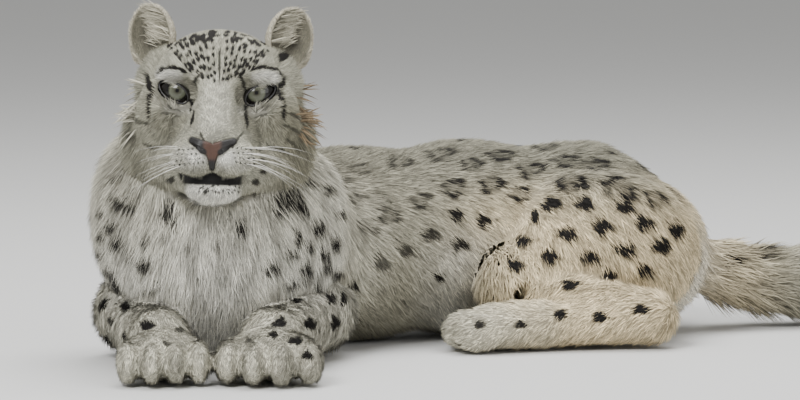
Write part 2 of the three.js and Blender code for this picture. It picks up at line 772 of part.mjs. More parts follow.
// The origin is under the middle of the whole animal, on the ground.
const middleOf = bounds.getCenter(vec(0, 0, 0));
leopard.position.set(-middleOf.x, -middleOf.y, -bounds.min.z);

export default leopard;
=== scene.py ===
"""A snow leopard at rest, life size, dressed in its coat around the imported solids."""
import math

import bmesh
import bpy
import numpy as np
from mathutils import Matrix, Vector


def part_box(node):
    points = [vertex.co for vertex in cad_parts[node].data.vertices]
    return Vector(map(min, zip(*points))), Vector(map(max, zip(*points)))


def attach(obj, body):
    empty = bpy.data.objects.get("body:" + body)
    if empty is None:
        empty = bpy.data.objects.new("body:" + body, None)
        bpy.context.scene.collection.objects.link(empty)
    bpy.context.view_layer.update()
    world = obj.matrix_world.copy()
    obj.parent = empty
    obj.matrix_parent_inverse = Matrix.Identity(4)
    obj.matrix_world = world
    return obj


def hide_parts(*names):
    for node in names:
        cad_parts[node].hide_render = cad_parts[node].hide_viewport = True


# The frame. The animal is worked out in millimetres from a point on the ground below its eyes,
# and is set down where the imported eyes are.
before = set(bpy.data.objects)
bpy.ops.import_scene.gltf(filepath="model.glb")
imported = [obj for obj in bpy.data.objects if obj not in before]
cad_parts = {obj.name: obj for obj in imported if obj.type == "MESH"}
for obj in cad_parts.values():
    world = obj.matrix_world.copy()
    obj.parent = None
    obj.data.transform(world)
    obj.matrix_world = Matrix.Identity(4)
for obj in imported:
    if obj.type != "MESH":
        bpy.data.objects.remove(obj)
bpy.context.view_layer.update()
draw = np.random.default_rng(11)
eye_boxes = [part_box("eye_left"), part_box("eye_right")]
between_eyes = sum((low + high for low, high in eye_boxes), Vector()) / 4
head_at = np.array([0.0, 0.0, 284.0])


def about_x(angle):
    c, s = math.cos(angle), math.sin(angle)
    return np.array([[1, 0, 0], [0, c, -s], [0, s, c]])


def about_y(angle):
    c, s = math.cos(angle), math.sin(angle)
    return np.array([[c, 0, s], [0, 1, 0], [-s, 0, c]])


def about_z(angle):
    c, s = math.cos(angle), math.sin(angle)
    return np.array([[c, -s, 0], [s, c, 0], [0, 0, 1]])


nod, roll = math.radians(-5), math.radians(1.6)
head_turn = about_x(nod) @ about_y(roll)
ground_point = np.array(between_eyes) * 1000 - (head_at + head_turn @ np.array([0.0, 5.0, 0.0]))


def set_down(points):
    return (np.asarray(points, float) + ground_point) / 1000


def taken_up(points):
    return np.asarray(points, float) * 1000 - ground_point


def coordinates(mesh):
    co = np.empty(len(mesh.vertices) * 3)
    mesh.vertices.foreach_get("co", co)
    return co.reshape(-1, 3)


def piece(name, mesh, *stands_for):
    made = bpy.data.objects.new(name, mesh)
    bpy.context.scene.collection.objects.link(made)
    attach(made, "root")
    if stands_for:
        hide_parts(*stands_for)
    return made


def smoothed(mesh):
    mesh.polygons.foreach_set("use_smooth", [True] * len(mesh.polygons))


# The form under the skin: rounded bones and muscles that run into one another, the same as those
# of the solids. Each field is negative inside its form and grows by one for each millimetre outside.
def egg(P, centre, radii, turn=0.0):
    c, s = math.cos(turn), math.sin(turn)
    d = P - np.array(centre, float)
    r = np.array(radii, float)
    q = np.stack((d[:, 0] * c + d[:, 1] * s, d[:, 1] * c - d[:, 0] * s, d[:, 2]), 1) / r
    size = np.linalg.norm(q, axis=1)
    return size * (size - 1) / np.maximum(np.linalg.norm(q / r, axis=1), 1e-6)


def limb(P, a, ra, b, rb):
    a, b = np.array(a, float), np.array(b, float)
    along = np.clip((P - a) @ (b - a) / ((b - a) @ (b - a)), 0, 1)
    return np.linalg.norm(P - a - along[:, None] * (b - a), axis=1) - ra - (rb - ra) * along


def blend(soft, *fields):
    whole = fields[0]
    for one in fields[1:]:
        h = np.maximum(soft - np.abs(whole - one), 0) / soft
        whole = np.minimum(whole, one) - h * h * soft / 4
    return whole


def scoop(soft, field, hollow):
    return -blend(soft, -field, hollow)


def in_head(P):
    return (P - head_at) @ head_turn


def mirrored(H):
    return np.stack((np.abs(H[:, 0]), H[:, 1], H[:, 2]), 1)


def head_field(P):
    H = in_head(P)
    M = mirrored(H)
    skull = blend(
        16,
        egg(M, (0, 52, 6), (74, 80, 61)),
        egg(M, (0, 8, 24), (54, 36, 38)),
        egg(M, (54, 26, -26), (33, 44, 44)),
        egg(M, (66, 50, -42), (32, 34, 46)),
        egg(M, (56, 44, 12), (27, 30, 34)),
    )
    brows = egg(M, (36, -3, 19), (24, 17, 11), math.radians(20))
    bridge = limb(H, (0, -10, 2), 24, (0, -66, -43), 17)
    muzzle = blend(
        10,
        limb(M, (10, -15, -48), 34, (6, -52, -62), 27),
        egg(M, (21, -61, -66), (24, 26, 19)),
        limb(M, (14, -34, -90), 19, (46, 35, -62), 36),
    )
    chin = egg(M, (0, -46, -97), (27, 27, 17))
    face = scoop(6, blend(14, skull, brows, bridge, muzzle), egg(M, (43, -25, -1), (24, 17, 15)))
    lids = egg(M, (40, 5, 0), (23, 17.5, 20), math.radians(-10))
    whole = blend(5, blend(9, face, chin), lids)
    mouth = np.minimum(egg(M, (17, -86, -87), (19, 20, 3.6)), egg(M, (0, -96, -86), (14, 13, 3.4)))
    return scoop(3, whole, mouth)


def trunk_field(P):
    return blend(
        34,
        limb(P, (0, 66, 246), 82, (-16, 100, 186), 98),
        egg(P, (-4, 58, 116), (98, 94, 112)),
        egg(P, (-80, 108, 150), (60, 76, 92)),
        egg(P, (76, 112, 140), (58, 76, 88)),
        limb(P, (20, 170, 118), 102, (130, 268, 106), 102),
        limb(P, (130, 268, 106), 102, (250, 328, 106), 105),
        limb(P, (250, 328, 106), 105, (380, 345, 102), 106),
        limb(P, (380, 345, 102), 106, (445, 355, 88), 84),
    )


def foot(P, centre, size, heading, spread):
    long, wide, high = size
    c, s = math.cos(heading), math.sin(heading)

    def at(ahead, across, up):
        return (centre[0] + ahead * s + across * c, centre[1] - ahead * c + across * s, up)

    pad = egg(P, at(-long * 0.1, 0, high * 0.5), (wide * 0.46, long * 0.4, high * 0.52), heading)
    toes = [
        egg(
            P,
            at(long * (0.24 - (0.1 if abs(n) > 1 else 0)), n * spread, high * 0.42),
            (wide * 0.14, long * 0.26, high * 0.44),
            heading,
        )
        for n in (-1.5, -0.5, 0.5, 1.5)
    ]
    return blend(6, pad, *toes)


def foreleg_fields(P):
    arms, hands = [], []
    for sign, paw, size, spread in (
        (1, (56, -96), (112, 112, 56), 27),
        (-1, (-51, -96), (108, 98, 56), 23),
    ):
        elbow = (sign * 92 + (4 if sign > 0 else 0), 116, 46)
        wrist = (sign * 57, -50, 40)
        upper = egg(P, (elbow[0], elbow[1] + 10, elbow[2] + 4), (44, 46, 44))
        arms.append(blend(14, limb(P, elbow, 43, wrist, 33), upper))
        down = limb(P, wrist, 33, (paw[0], paw[1] + 26, 34), 28)
        hands.append(blend(12, down, foot(P, (*paw, 0), size, math.radians(sign * -4), spread)))
    return arms, hands


def hindleg_fields(P):
    thighs, shanks, feet = [], [], []
    for hip, knee, hock, paw, out in (
        ((400, 268, 100), (306, 226, 70), (452, 198, 36), (282, 174, 0), -1),
        ((396, 432, 92), (312, 478, 66), (458, 500, 36), (290, 522, 0), 1),
    ):
        thighs.append(
            blend(30, egg(P, hip, (112, 70, 92)), limb(P, (hip[0] - 20, hip[1], hip[2]), 68, knee, 50))
        )
        shin = (knee[0] + 10, knee[1] + out * 8, knee[2] - 8)
        heel = (hock[0], hock[1], hock[2] - 4)
        toe_root = (paw[0] + 34, paw[1], 28)
        fold = egg(P, (knee[0] + 60, knee[1] + out * 4, 62), (62, 40, 34))
        shanks.append(blend(12, limb(P, shin, 40, hock, 30), limb(P, heel, 30, toe_root, 27), fold))
        down = limb(P, (paw[0] + 50, paw[1], 28), 27, toe_root, 26)
        feet.append(blend(10, down, foot(P, paw, (112, 92, 54), math.radians(-90), 22)))
    return thighs, shanks, feet


tail_stations = np.array(
    [
        (500, 366, 76), (575, 396, 56), (680, 412, 47), (785, 394, 47), (866, 332, 47),
        (906, 238, 47), (896, 136, 46), (832, 58, 44), (748, 20, 40),
    ],
    float,
)


def along_tail(count):
    """Points along the tail at equal steps, on a curve through its stations."""
    before = 2 * tail_stations[0] - tail_stations[1]
    beyond = 2 * tail_stations[-1] - tail_stations[-2]
    ends = np.vstack((before, tail_stations, beyond))
    fine = []
    for i in range(1, len(ends) - 2):
        p0, p1, p2, p3 = ends[i - 1 : i + 3]
        square, cube = 2 * p0 - 5 * p1 + 4 * p2 - p3, 3 * p1 - p0 - 3 * p2 + p3
        for t in np.linspace(0, 1, 30, endpoint=False):
            fine.append(0.5 * (2 * p1 + (p2 - p0) * t + square * t**2 + cube * t**3))
    fine = np.array(fine + [ends[-2]])
    run = np.concatenate(([0], np.cumsum(np.linalg.norm(np.diff(fine, axis=0), axis=1))))
    steps = np.linspace(0, run[-1], count)
    return np.stack([np.interp(steps, run, fine[:, a]) for a in range(3)], 1)


tail_joints = 19
tail_points = along_tail(tail_joints)
tail_girths = [
    48 * (0.86 + 0.2 * math.sin(math.pi * min(1, u * 1.1)) - 0.12 * u * u)
    for u in np.linspace(0, 1, tail_joints)
]


def tail_field(P):
    links = [
        limb(P, tail_points[i], tail_girths[i], tail_points[i + 1], tail_girths[i + 1])
        for i in range(len(tail_points) - 1)
    ]
    return blend(8, *links)


def regions(P):
    """The field of each region: head, trunk, forearms, forepaws, thighs, shanks, hind feet, tail."""
    fields = [np.full(len(P), 400.0) for _ in range(8)]
    fields[1] = trunk_field(P)
    near_head = (P[:, 2] > 110) & (P[:, 1] < 240) & (np.abs(P[:, 0]) < 170)
    fields[0][near_head] = head_field(P[near_head])
    near_arms = (P[:, 2] < 170) & (P[:, 1] < 240) & (P[:, 0] < 230)
    arms, hands = foreleg_fields(P[near_arms])
    fields[2][near_arms], fields[3][near_arms] = np.minimum(*arms), np.minimum(*hands)
    behind = (P[:, 0] > 170) & (P[:, 0] < 620)
    thighs, shanks, feet = hindleg_fields(P[behind])
    for i, pair in ((4, thighs), (5, shanks), (6, feet)):
        fields[i][behind] = np.minimum(*pair)
    near_tail = P[:, 0] > 430
    fields[7][near_tail] = tail_field(P[near_tail])
    return fields


def body_field(P):
    head, trunk, arms, hands, thighs, shanks, feet, tail = regions(P)
    return blend(9, blend(12, trunk, head), arms, hands, blend(10, thighs, shanks), feet, tail)


def slope(field, P):
    here = field(P)
    e = 0.4
    out = np.stack([field(P + e * np.eye(3)[a]) - here for a in range(3)], 1) / e
    return here, out / np.maximum(np.linalg.norm(out, axis=1), 1e-6)[:, None]


# The coat's length in millimetres: short on the face and paws, longest on the cheeks, the belly
# and the tail. The skin lies as deep in the solids as the coat stands off it.
def weights(P):
    near = np.stack(regions(P), 1)
    w = np.exp(-(near - near.min(1)[:, None]) / 9)
    return w / w.sum(1)[:, None]


def smooth(low, high, x):
    t = np.clip((x - low) / (high - low), 0, 1)
    return t * t * (3 - 2 * t)


def coat_length(P, w):
    M = mirrored(in_head(P))
    cheek = smooth(36, 66, M[:, 0]) * smooth(16, -26, M[:, 2]) * smooth(-6, 34, M[:, 1])
    back_of_head = smooth(40, 100, M[:, 1])
    throat = smooth(-92, -116, M[:, 2])
    temple = smooth(52, 72, M[:, 0]) * smooth(-24, 4, M[:, 2]) * smooth(2, 22, M[:, 1])
    face = 3.4 + 3.2 * smooth(-60, 10, M[:, 1]) + 20 * cheek + 12 * back_of_head + 10 * throat + 9 * temple
    front = smooth(160, 90, P[:, 1]) * smooth(200, 120, P[:, 0])
    trunk = 23 + 9 * front + 14 * smooth(90, 20, P[:, 2]) * (1 - front)
    legs_and_tail = np.tile((15.0, 9.0, 25.0, 17.0, 9.0, 34.0), (len(P), 1))
    by_region = np.column_stack((face, trunk, legs_and_tail))
    return (by_region * w).sum(1)


def coat_depth(P):
    return 0.42 * coat_length(P, weights(P)) - 0.6


# The skin: one sheet over the whole body, drawn over the solids of the flesh, evened out and let
# down to the depth of the coat. It is closed all over but for the eyes.
def cover(name, nodes, voxel, field, depth):
    """A closed even mesh over the named solids, let down onto a field.

    The solids are swollen a little, so that they run together over their cuts, and thinned at the
    paws, so that the toes stay apart. The head is taken as its hull, since its field has the hollows.
    """
    heap = bmesh.new()
    for node in nodes:
        solid = bmesh.new()
        solid.from_mesh(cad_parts[node].data)
        bmesh.ops.remove_doubles(solid, verts=solid.verts, dist=1e-6)
        if node == "head":
            hull = bmesh.ops.convex_hull(solid, input=solid.verts)
            bmesh.ops.delete(solid, geom=hull["geom_interior"], context="VERTS")
        solid.normal_update()
        swell = -3.0 if "paw" in node else 2.5
        for v in solid.verts:
            v.co += v.normal * swell / 1000
        part = bpy.data.meshes.new("part")
        solid.to_mesh(part)
        solid.free()
        heap.from_mesh(part)
        bpy.data.meshes.remove(part)
    mesh = bpy.data.meshes.new(name)
    heap.to_mesh(mesh)
    heap.free()
    made = bpy.data.objects.new(name, mesh)
    bpy.context.scene.collection.objects.link(made)
    even = made.modifiers.new("even", "REMESH")
    even.mode = "VOXEL"
    even.voxel_size = voxel / 1000
    evaluated = made.evaluated_get(bpy.context.evaluated_depsgraph_get())
    skin = bpy.data.meshes.new_from_object(evaluated)
    bpy.data.objects.remove(made)
    bpy.data.meshes.remove(mesh)
    skin.name = name
    let_down(skin, field, depth, (12, 8, 4, 2, 1))
    return skin


def let_down(mesh, field, depth, evenings):
    """Evens a mesh out and moves it onto its depth in the field, a few times over."""
    for turns in evenings:
        even_out(mesh, turns)
        P = taken_up(coordinates(mesh))
        for _ in range(2):
            here, out = slope(field, P)
            P -= np.clip(here + depth(P), -14, 14)[:, None] * out
        P[:, 2] = np.maximum(P[:, 2], 2.0)
        mesh.vertices.foreach_set("co", set_down(P).ravel())
        mesh.update()


def even_out(mesh, turns):
    ends = np.empty(len(mesh.edges) * 2, int)
    mesh.edges.foreach_get("vertices", ends)
    a, z = ends[0::2], ends[1::2]
    P = coordinates(mesh)
    count = np.bincount(ends, minlength=len(P))[:, None]
    for _ in range(turns):
        total = np.stack(
            [np.bincount(a, P[z, i], len(P)) + np.bincount(z, P[a, i], len(P)) for i in range(3)], 1
        )
        P = 0.5 * P + 0.5 * total / np.maximum(count, 1)
    mesh.vertices.foreach_set("co", P.ravel())


flesh = [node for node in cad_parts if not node.startswith(("eye", "ear", "nose"))]
skin_mesh = cover("skin", flesh, 5.0, body_field, coat_depth)
sheet = bmesh.new()
sheet.from_mesh(skin_mesh)
islands = []
left = set(sheet.verts)
while left:
    seed = [left.pop()]
    island = set(seed)
    while seed:
        for e in seed.pop().link_edges:
            for v in e.verts:
                if v in left:
                    left.discard(v)
                    island.add(v)
                    seed.append(v)
    islands.append(island)
islands.sort(key=len)
for island in islands[:-1]:
    bmesh.ops.delete(sheet, geom=list(island), context="VERTS")


def on_head(h):
    return h[1] < 90 and h[2] > -125


def on_face(h):
    return h[1] < 6 and -112 < h[2] < 26 and abs(h[0]) < 66


for needs_detail in (on_head, on_face):
    edges = []
    for e in sheet.edges:
        middle = (e.verts[0].co + e.verts[1].co) / 2
        if needs_detail(in_head(taken_up([middle]))[0]):
            edges.append(e)
    bmesh.ops.subdivide_edges(sheet, edges=edges, cuts=1, use_grid_fill=True)
bmesh.ops.triangulate(sheet, faces=sheet.faces)
sheet.to_mesh(skin_mesh)
sheet.free()
let_down(skin_mesh, body_field, coat_depth, (2, 1))

# The openings for the eyes are cut through the skin along the edge of the lids. Each eye's own frame
# has its origin at the middle of the eyeball: outward along the slanted line of the lids, up across
# it, and forward out of the head.
eye_radius = (eye_boxes[0][1] - eye_boxes[0][0]).x * 500
lid_slant = math.radians(29)
opening = {"half length": 16.6, "up": 8.9, "down": 7.4, "corner height": -2.0, "outward": 1.6}
eye_seat = (40.0, 5.0, 0.0)
around_eye = 72


def eye_frame(sign):
    outward = np.array([sign * math.cos(lid_slant), 0.16, math.sin(lid_slant)])
    outward /= np.linalg.norm(outward)
    forward = np.array([sign * 0.16, -1.0, 0.0])
    forward -= outward * (forward @ outward)
    forward /= np.linalg.norm(forward)
    upward = np.cross(outward, forward)
    upward *= np.sign(upward[2])
    return np.array(eye_seat) * (sign, 1, 1), np.stack((outward, upward, forward), 1)


def lid_edge(angle, away):
    """The edge of the lids in the eye's frame, set off from the opening by a distance."""

    def edge(a):
        rise = math.sin(a)
        high = opening["up"] if rise > 0 else opening["down"]
        lean = 1.6 * abs(rise) ** 1.3
        out = opening["outward"] + opening["half length"] * math.cos(a) - lean
        return np.array([out, opening["corner height"] + high * math.copysign(abs(rise) ** 1.15, rise)])

    at = edge(angle)
    run = edge(angle + 0.02) - edge(angle - 0.02)
    run /= np.linalg.norm(run)
    return at + away * np.array([run[1], -run[0]])


def lid_swell(u, v):
    return 15.6 * math.sqrt(max(0.05, 1 - (u / 23.0) ** 2 - (v / 19.0) ** 2))


sheet = bmesh.new()
sheet.from_mesh(skin_mesh)
cut = []
cut_back = 2.3
edge_points = [lid_edge(a, cut_back) for a in np.linspace(0, 2 * math.pi, around_eye, endpoint=False)]
for sign in (1, -1):
    middle, axes = eye_frame(sign)
    for part in sheet.faces:
        h = in_head(taken_up([part.calc_center_median()]))[0] - middle
        if abs(h[0]) > 24 or abs(h[2]) > 18 or h[1] > 0:
            continue
        u, v, forward = h @ axes
        inside = False
        for (x0, y0), (x1, y1) in zip(edge_points, edge_points[-1:] + edge_points[:-1]):
            if (y0 > v) != (y1 > v) and u < (x1 - x0) * (v - y0) / (y1 - y0) + x0:
                inside = not inside
        if inside and forward > 0:
            cut.append(part)
bmesh.ops.delete(sheet, geom=cut, context="FACES")
sheet.to_mesh(skin_mesh)
sheet.free()

skin = piece("skin", skin_mesh, *flesh)
smoothed(skin_mesh)
bpy.context.view_layer.update()

# Where the animal is seen from: the eyes' place in the picture and the slight downward tip of the
# view set where each marking of the near side falls on the skin. Distances are in metres.
lens, sensor, frame_wide, frame_high = 200, 36, 800, 400
from_eyes = {"aside": 0.1848, "below": 0.1083, "back": 4.5}
tip = math.radians(5)
ahead = np.array([0, math.cos(tip), -math.sin(tip)])
above = np.array([0, math.sin(tip), math.cos(tip)])
rightward = np.array([1.0, 0, 0])
camera_at = np.array(between_eyes) + np.array([from_eyes["aside"], 0, 0])
camera_at = camera_at - above * from_eyes["below"] - ahead * from_eyes["back"]
reach = lens / sensor * frame_wide


def seen_at(px, py):
    """The place on the skin seen at a point of the frame, with its normal."""
    way = ahead + rightward * (px - frame_wide / 2) / reach + above * (frame_high / 2 - py) / reach
    hit, at, normal, _ = skin.ray_cast(Vector(camera_at), Vector(way).normalized())
    return (taken_up(at[:]), np.array(normal)) if hit else None


# Markings: small solid spots on the head and legs, rosettes on the trunk, bars and blotches on the
# tail. Each is a patch on the skin's surface: a centre and two half-axes that lie in the skin.
class Patch:
    def __init__(self, centre, normal, first, second, ring=False, strength=1.0):
        self.centre, self.ring, self.strength = centre, ring, strength
        self.inverse = np.linalg.inv(np.stack((first, second, normal * 14), 1))
        self.reach = 1.45 * max(np.linalg.norm(first), np.linalg.norm(second), 9)
        self.phase = draw.uniform(0, 6.28)

    def darkness(self, P):
        s = (P - self.centre) @ self.inverse.T
        angle = np.arctan2(s[:, 1], s[:, 0])
        wobble = 1 + 0.13 * np.sin(3 * angle + self.phase) + 0.09 * np.sin(5 * angle + 2 * self.phase)
        r = np.hypot(np.hypot(s[:, 0], s[:, 1]) / wobble, s[:, 2])
        dark = smooth(1.12, 0.82, r)
        if self.ring:
            gaps = smooth(-0.75, -0.2, np.sin(2 * angle + self.phase) + 0.5 * np.sin(5 * angle))
            dark = dark * (0.38 + 0.62 * smooth(0.42, 0.62, r) * gaps)
        return dark * self.strength


patches = []


def spot(px, py, half_wide, half_high, angle=0.0, ring=False, strength=1.0):
    seen = seen_at(px, py)
    if seen is None:
        return
    centre, normal = seen
    scale = np.dot(centre / 1000 + ground_point / 1000 - camera_at, ahead) * 1000 / reach
    a = math.radians(angle)
    facing = min(-0.3, np.dot(ahead, normal))
    axes = []
    for wide, across, up in ((half_wide, math.cos(a), math.sin(a)), (half_high, -math.sin(a), math.cos(a))):
        way = (rightward * across + above * up) * wide * scale
        along = way - ahead * np.dot(way, normal) / facing
        axes.append(along - normal * np.dot(along, normal))
    patches.append(Patch(centre, normal, *axes, ring, strength))


def bar(x0, y0, x1, y1, half_thick, strength=1.0):
    half_long = math.hypot(x1 - x0, y1 - y0) / 2
    angle = -math.degrees(math.atan2(y1 - y0, x1 - x0))
    spot((x0 + x1) / 2, (y0 + y1) / 2, half_long, half_thick, angle, False, strength)


# Face: a dark line down the brow, rows of spots that fan out over the forehead to a mottled crown,
# arcs above the eyes, tear lines, cheek bars and the small dots that the whiskers grow from. Places
# and sizes of markings are in the frame's pixels: x, y, x, y, thickness and strength for a line.
face_middle, crown_middle, spots_in_row = 219.5, 219, 7
bar(face_middle, 46, face_middle, 82, 1.3, 0.75)
for row in range(-8, 9):
    if row == 0:
        continue
    lean = row * 5.2
    for n in range(spots_in_row):
        t = n / (spots_in_row - 1) + draw.uniform(-0.06, 0.06)
        x = face_middle + row * (4.2 + 3.3 * t) + draw.uniform(-1, 1)
        y = 80 - abs(row) * 1.6 - t * (44 - abs(row) * 1.2) + draw.uniform(-1.5, 1.5)
        if abs(row) > 5 and n > 4:
            continue
        wide, high = draw.uniform(1.4, 2.2), draw.uniform(2.0, 3.6)
        spot(x, y, wide, high, -lean * (0.6 + t), False, draw.uniform(0.9, 1.1))
for n in range(110):
    x, y = crown_middle + draw.uniform(-50, 50), draw.uniform(29, 52)
    if y > 30 + abs(x - crown_middle) * 0.25 and abs(x - crown_middle) > (y - 38) * 3:
        wide, high = draw.uniform(2, 3.8), draw.uniform(1.4, 2.4)
        spot(x, y, wide, high, (crown_middle - x) * 0.9, False, 1.0)
face_lines = (
    (158, 74, 166, 68, 1.5, 0.9), (166, 68, 178, 68, 1.5, 0.9), (178, 68, 186, 72, 1.4, 0.8),
    (252, 70, 262, 67, 1.5, 0.9), (262, 67, 275, 70, 1.5, 0.9), (275, 70, 281, 76, 1.4, 0.8),
    (152, 88, 149, 102, 1.7, 0.9), (149, 102, 149, 116, 1.5, 0.85), (150, 76, 152, 90, 1.6, 0.85),
    (280, 90, 283, 104, 1.7, 0.9), (283, 104, 283, 118, 1.5, 0.85), (282, 76, 280, 91, 1.6, 0.85),
    (137, 96, 132, 112, 2.2, 0.75), (136, 118, 144, 124, 1.8, 0.4), (131, 131, 140, 136, 1.8, 0.4),
    (145, 143, 158, 147, 1.5, 0.4), (292, 101, 298, 108, 1.8, 0.5), (290, 114, 299, 120, 1.6, 0.4),
    (288, 126, 298, 133, 1.6, 0.4), (286, 139, 295, 145, 1.6, 0.4), (272, 147, 286, 151, 1.5, 0.4),
    (192, 101, 194, 112, 1.8, 1.0), (194, 112, 192, 124, 1.4, 0.8), (246, 103, 245, 113, 1.8, 1.0),
    (245, 113, 247, 126, 1.4, 0.8), (197, 76, 194, 86, 1.6, 0.6), (241, 76, 244, 87, 1.6, 0.6),
    (166, 106, 178, 110, 1.1, 0.4), (258, 109, 270, 106, 1.1, 0.4), (164, 113, 180, 117, 1.1, 0.35),
    (256, 117, 272, 113, 1.1, 0.35), (147, 54, 153, 56, 3.4, 1.0), (279, 57, 285, 58, 3.2, 1.0),
    (205, 142, 200, 133, 1.0, 0.5), (237, 142, 241, 133, 1.0, 0.5),
)
for x0, y0, x1, y1, thick, strength in face_lines:
    across, down = 0.2 * (x1 - x0), 0.2 * (y1 - y0)
    bar(x0 - across, y0 - down, x1 + across, y1 + down, thick * 1.25, min(1, strength + 0.2))


def whisker_root(side, line, n):
    return face_middle + side * (13 + n * 4.6 + line * 1.2), 147 + line * 5.2 + n * 0.5


whisker_lines = 4
for side in (-1, 1):
    for line in range(whisker_lines):
        for n in range(7):
            x, y = whisker_root(side, line, n)
            y += draw.uniform(-0.8, 0.8)
            spot(x, y, draw.uniform(0.8, 1.3), draw.uniform(0.8, 1.2), 0, False, 0.9)
jaw_spots = ((171.5, 180, 4.5, 3), (255, 182, 4, 3.4), (252, 190, 4, 2.6), (262, 172, 3, 2.4))
for x, y, wide, high in jaw_spots:
    spot(x, y, wide, high, 0, False, 0.8)
for n in range(34):
    x, y = draw.uniform(198, 242), draw.uniform(184, 193)
    spot(x, y, draw.uniform(0.9, 1.6), draw.uniform(0.8, 1.2), 0, False, 0.8)

# Neck, chest and forelegs: soft broken spots in loose rows, with solid ones down to the paws. A spot
# is written as x, y, half its width and height, its slant in degrees and its strength.
neck_bars = (
    (113, 194, 142, 212, 5, 0.8), (160, 212, 180, 223, 3.6, 0.7), (269, 220, 297, 199, 3.6, 0.85),
    (103, 286, 131, 285, 2.6, 0.85), (99, 312, 111, 299, 3.4, 0.9), (313, 276, 314, 292, 2.2, 0.85),
    (280, 278, 308, 274, 1.8, 0.7), (140, 290, 168, 282, 2, 0.6), (104, 262, 122, 270, 3, 0.6),
)
for x0, y0, x1, y1, thick, strength in neck_bars:
    bar(x0, y0, x1, y1, thick * 1.3, max(0.85, strength))
neck_spots = (
    (240, 228, 4, 4.5, 0, 0.85), (292, 236, 3.6, 7.5, 10, 0.95), (314, 226, 5, 6, 0, 0.8),
    (123, 240, 7, 4, -20, 0.75), (98, 232, 4.5, 6, 0, 0.8), (96, 203, 4, 5, 0, 0.75),
    (108, 209, 4, 3, 0, 0.8), (189, 245, 4, 3, 0, 0.35), (216, 245, 4, 3, 0, 0.35),
    (149, 262, 7, 4.5, -10, 0.8), (268, 265, 7, 4.5, 10, 0.8), (300, 265, 6, 4.5, 0, 0.8),
    (332, 269, 5, 5.5, 0, 0.8), (202, 278, 3, 1.6, 0, 0.4), (330, 240, 4, 5, 0, 0.7),
    (126, 308, 5, 3.6, 10, 0.9), (148, 327, 6, 4, 0, 0.85), (127, 337, 5, 3.6, 0, 0.8),
    (110, 339, 4, 4.5, 0, 0.8), (279, 324, 6, 4, 10, 0.95), (308, 325, 5.5, 4.5, 0, 0.95),
    (334, 323, 4, 6, 0, 0.9), (273, 335, 4, 3, 0, 0.85), (296, 341, 6, 3.6, 0, 0.9),
    (323, 354, 4.5, 4, 0, 0.85), (307, 356, 4, 3.4, 0, 0.85), (250, 343, 4, 2.6, 0, 0.5),
    (168, 345, 3.6, 2.4, 0, 0.5), (180, 330, 4, 2.6, 0, 0.5), (240, 332, 4, 2.6, 0, 0.5),
    (296, 302, 4, 3, 0, 0.8), (342, 300, 3, 6, 0, 0.8), (330, 300, 4, 4, 0, 0.75),
    (160, 306, 4, 2.6, 0, 0.6), (112, 322, 4, 3, 0, 0.8), (137, 252, 4, 3, 0, 0.6),
    (106, 248, 4.5, 4, 0, 0.7), (116, 224, 5, 4, 0, 0.75), (300, 210, 4, 4, 0, 0.7),
    (286, 252, 5, 3.4, 0, 0.7), (318, 250, 4, 4, 0, 0.75), (168, 236, 4, 3, 0, 0.4),
    (104, 172, 3, 5, 30, 0.7), (120, 178, 4, 3, -30, 0.6), (98, 186, 3, 4, 0, 0.6),
    (322, 190, 4, 4, 0, 0.7), (306, 186, 4, 3, 20, 0.7), (334, 212, 4, 4, 0, 0.7),
    (150, 240, 5, 3, -10, 0.6), (120, 276, 5, 3, 0, 0.7), (108, 232, 3, 4, 0, 0.7),
    (304, 244, 4, 4, 0, 0.7), (284, 282, 5, 3, 10, 0.6), (322, 262, 4, 4, 0, 0.7),
)
for x, y, wide, high, angle, strength in neck_spots:
    spot(x, y, wide * 1.3, high * 1.25, angle, False, min(1, strength + 0.2))

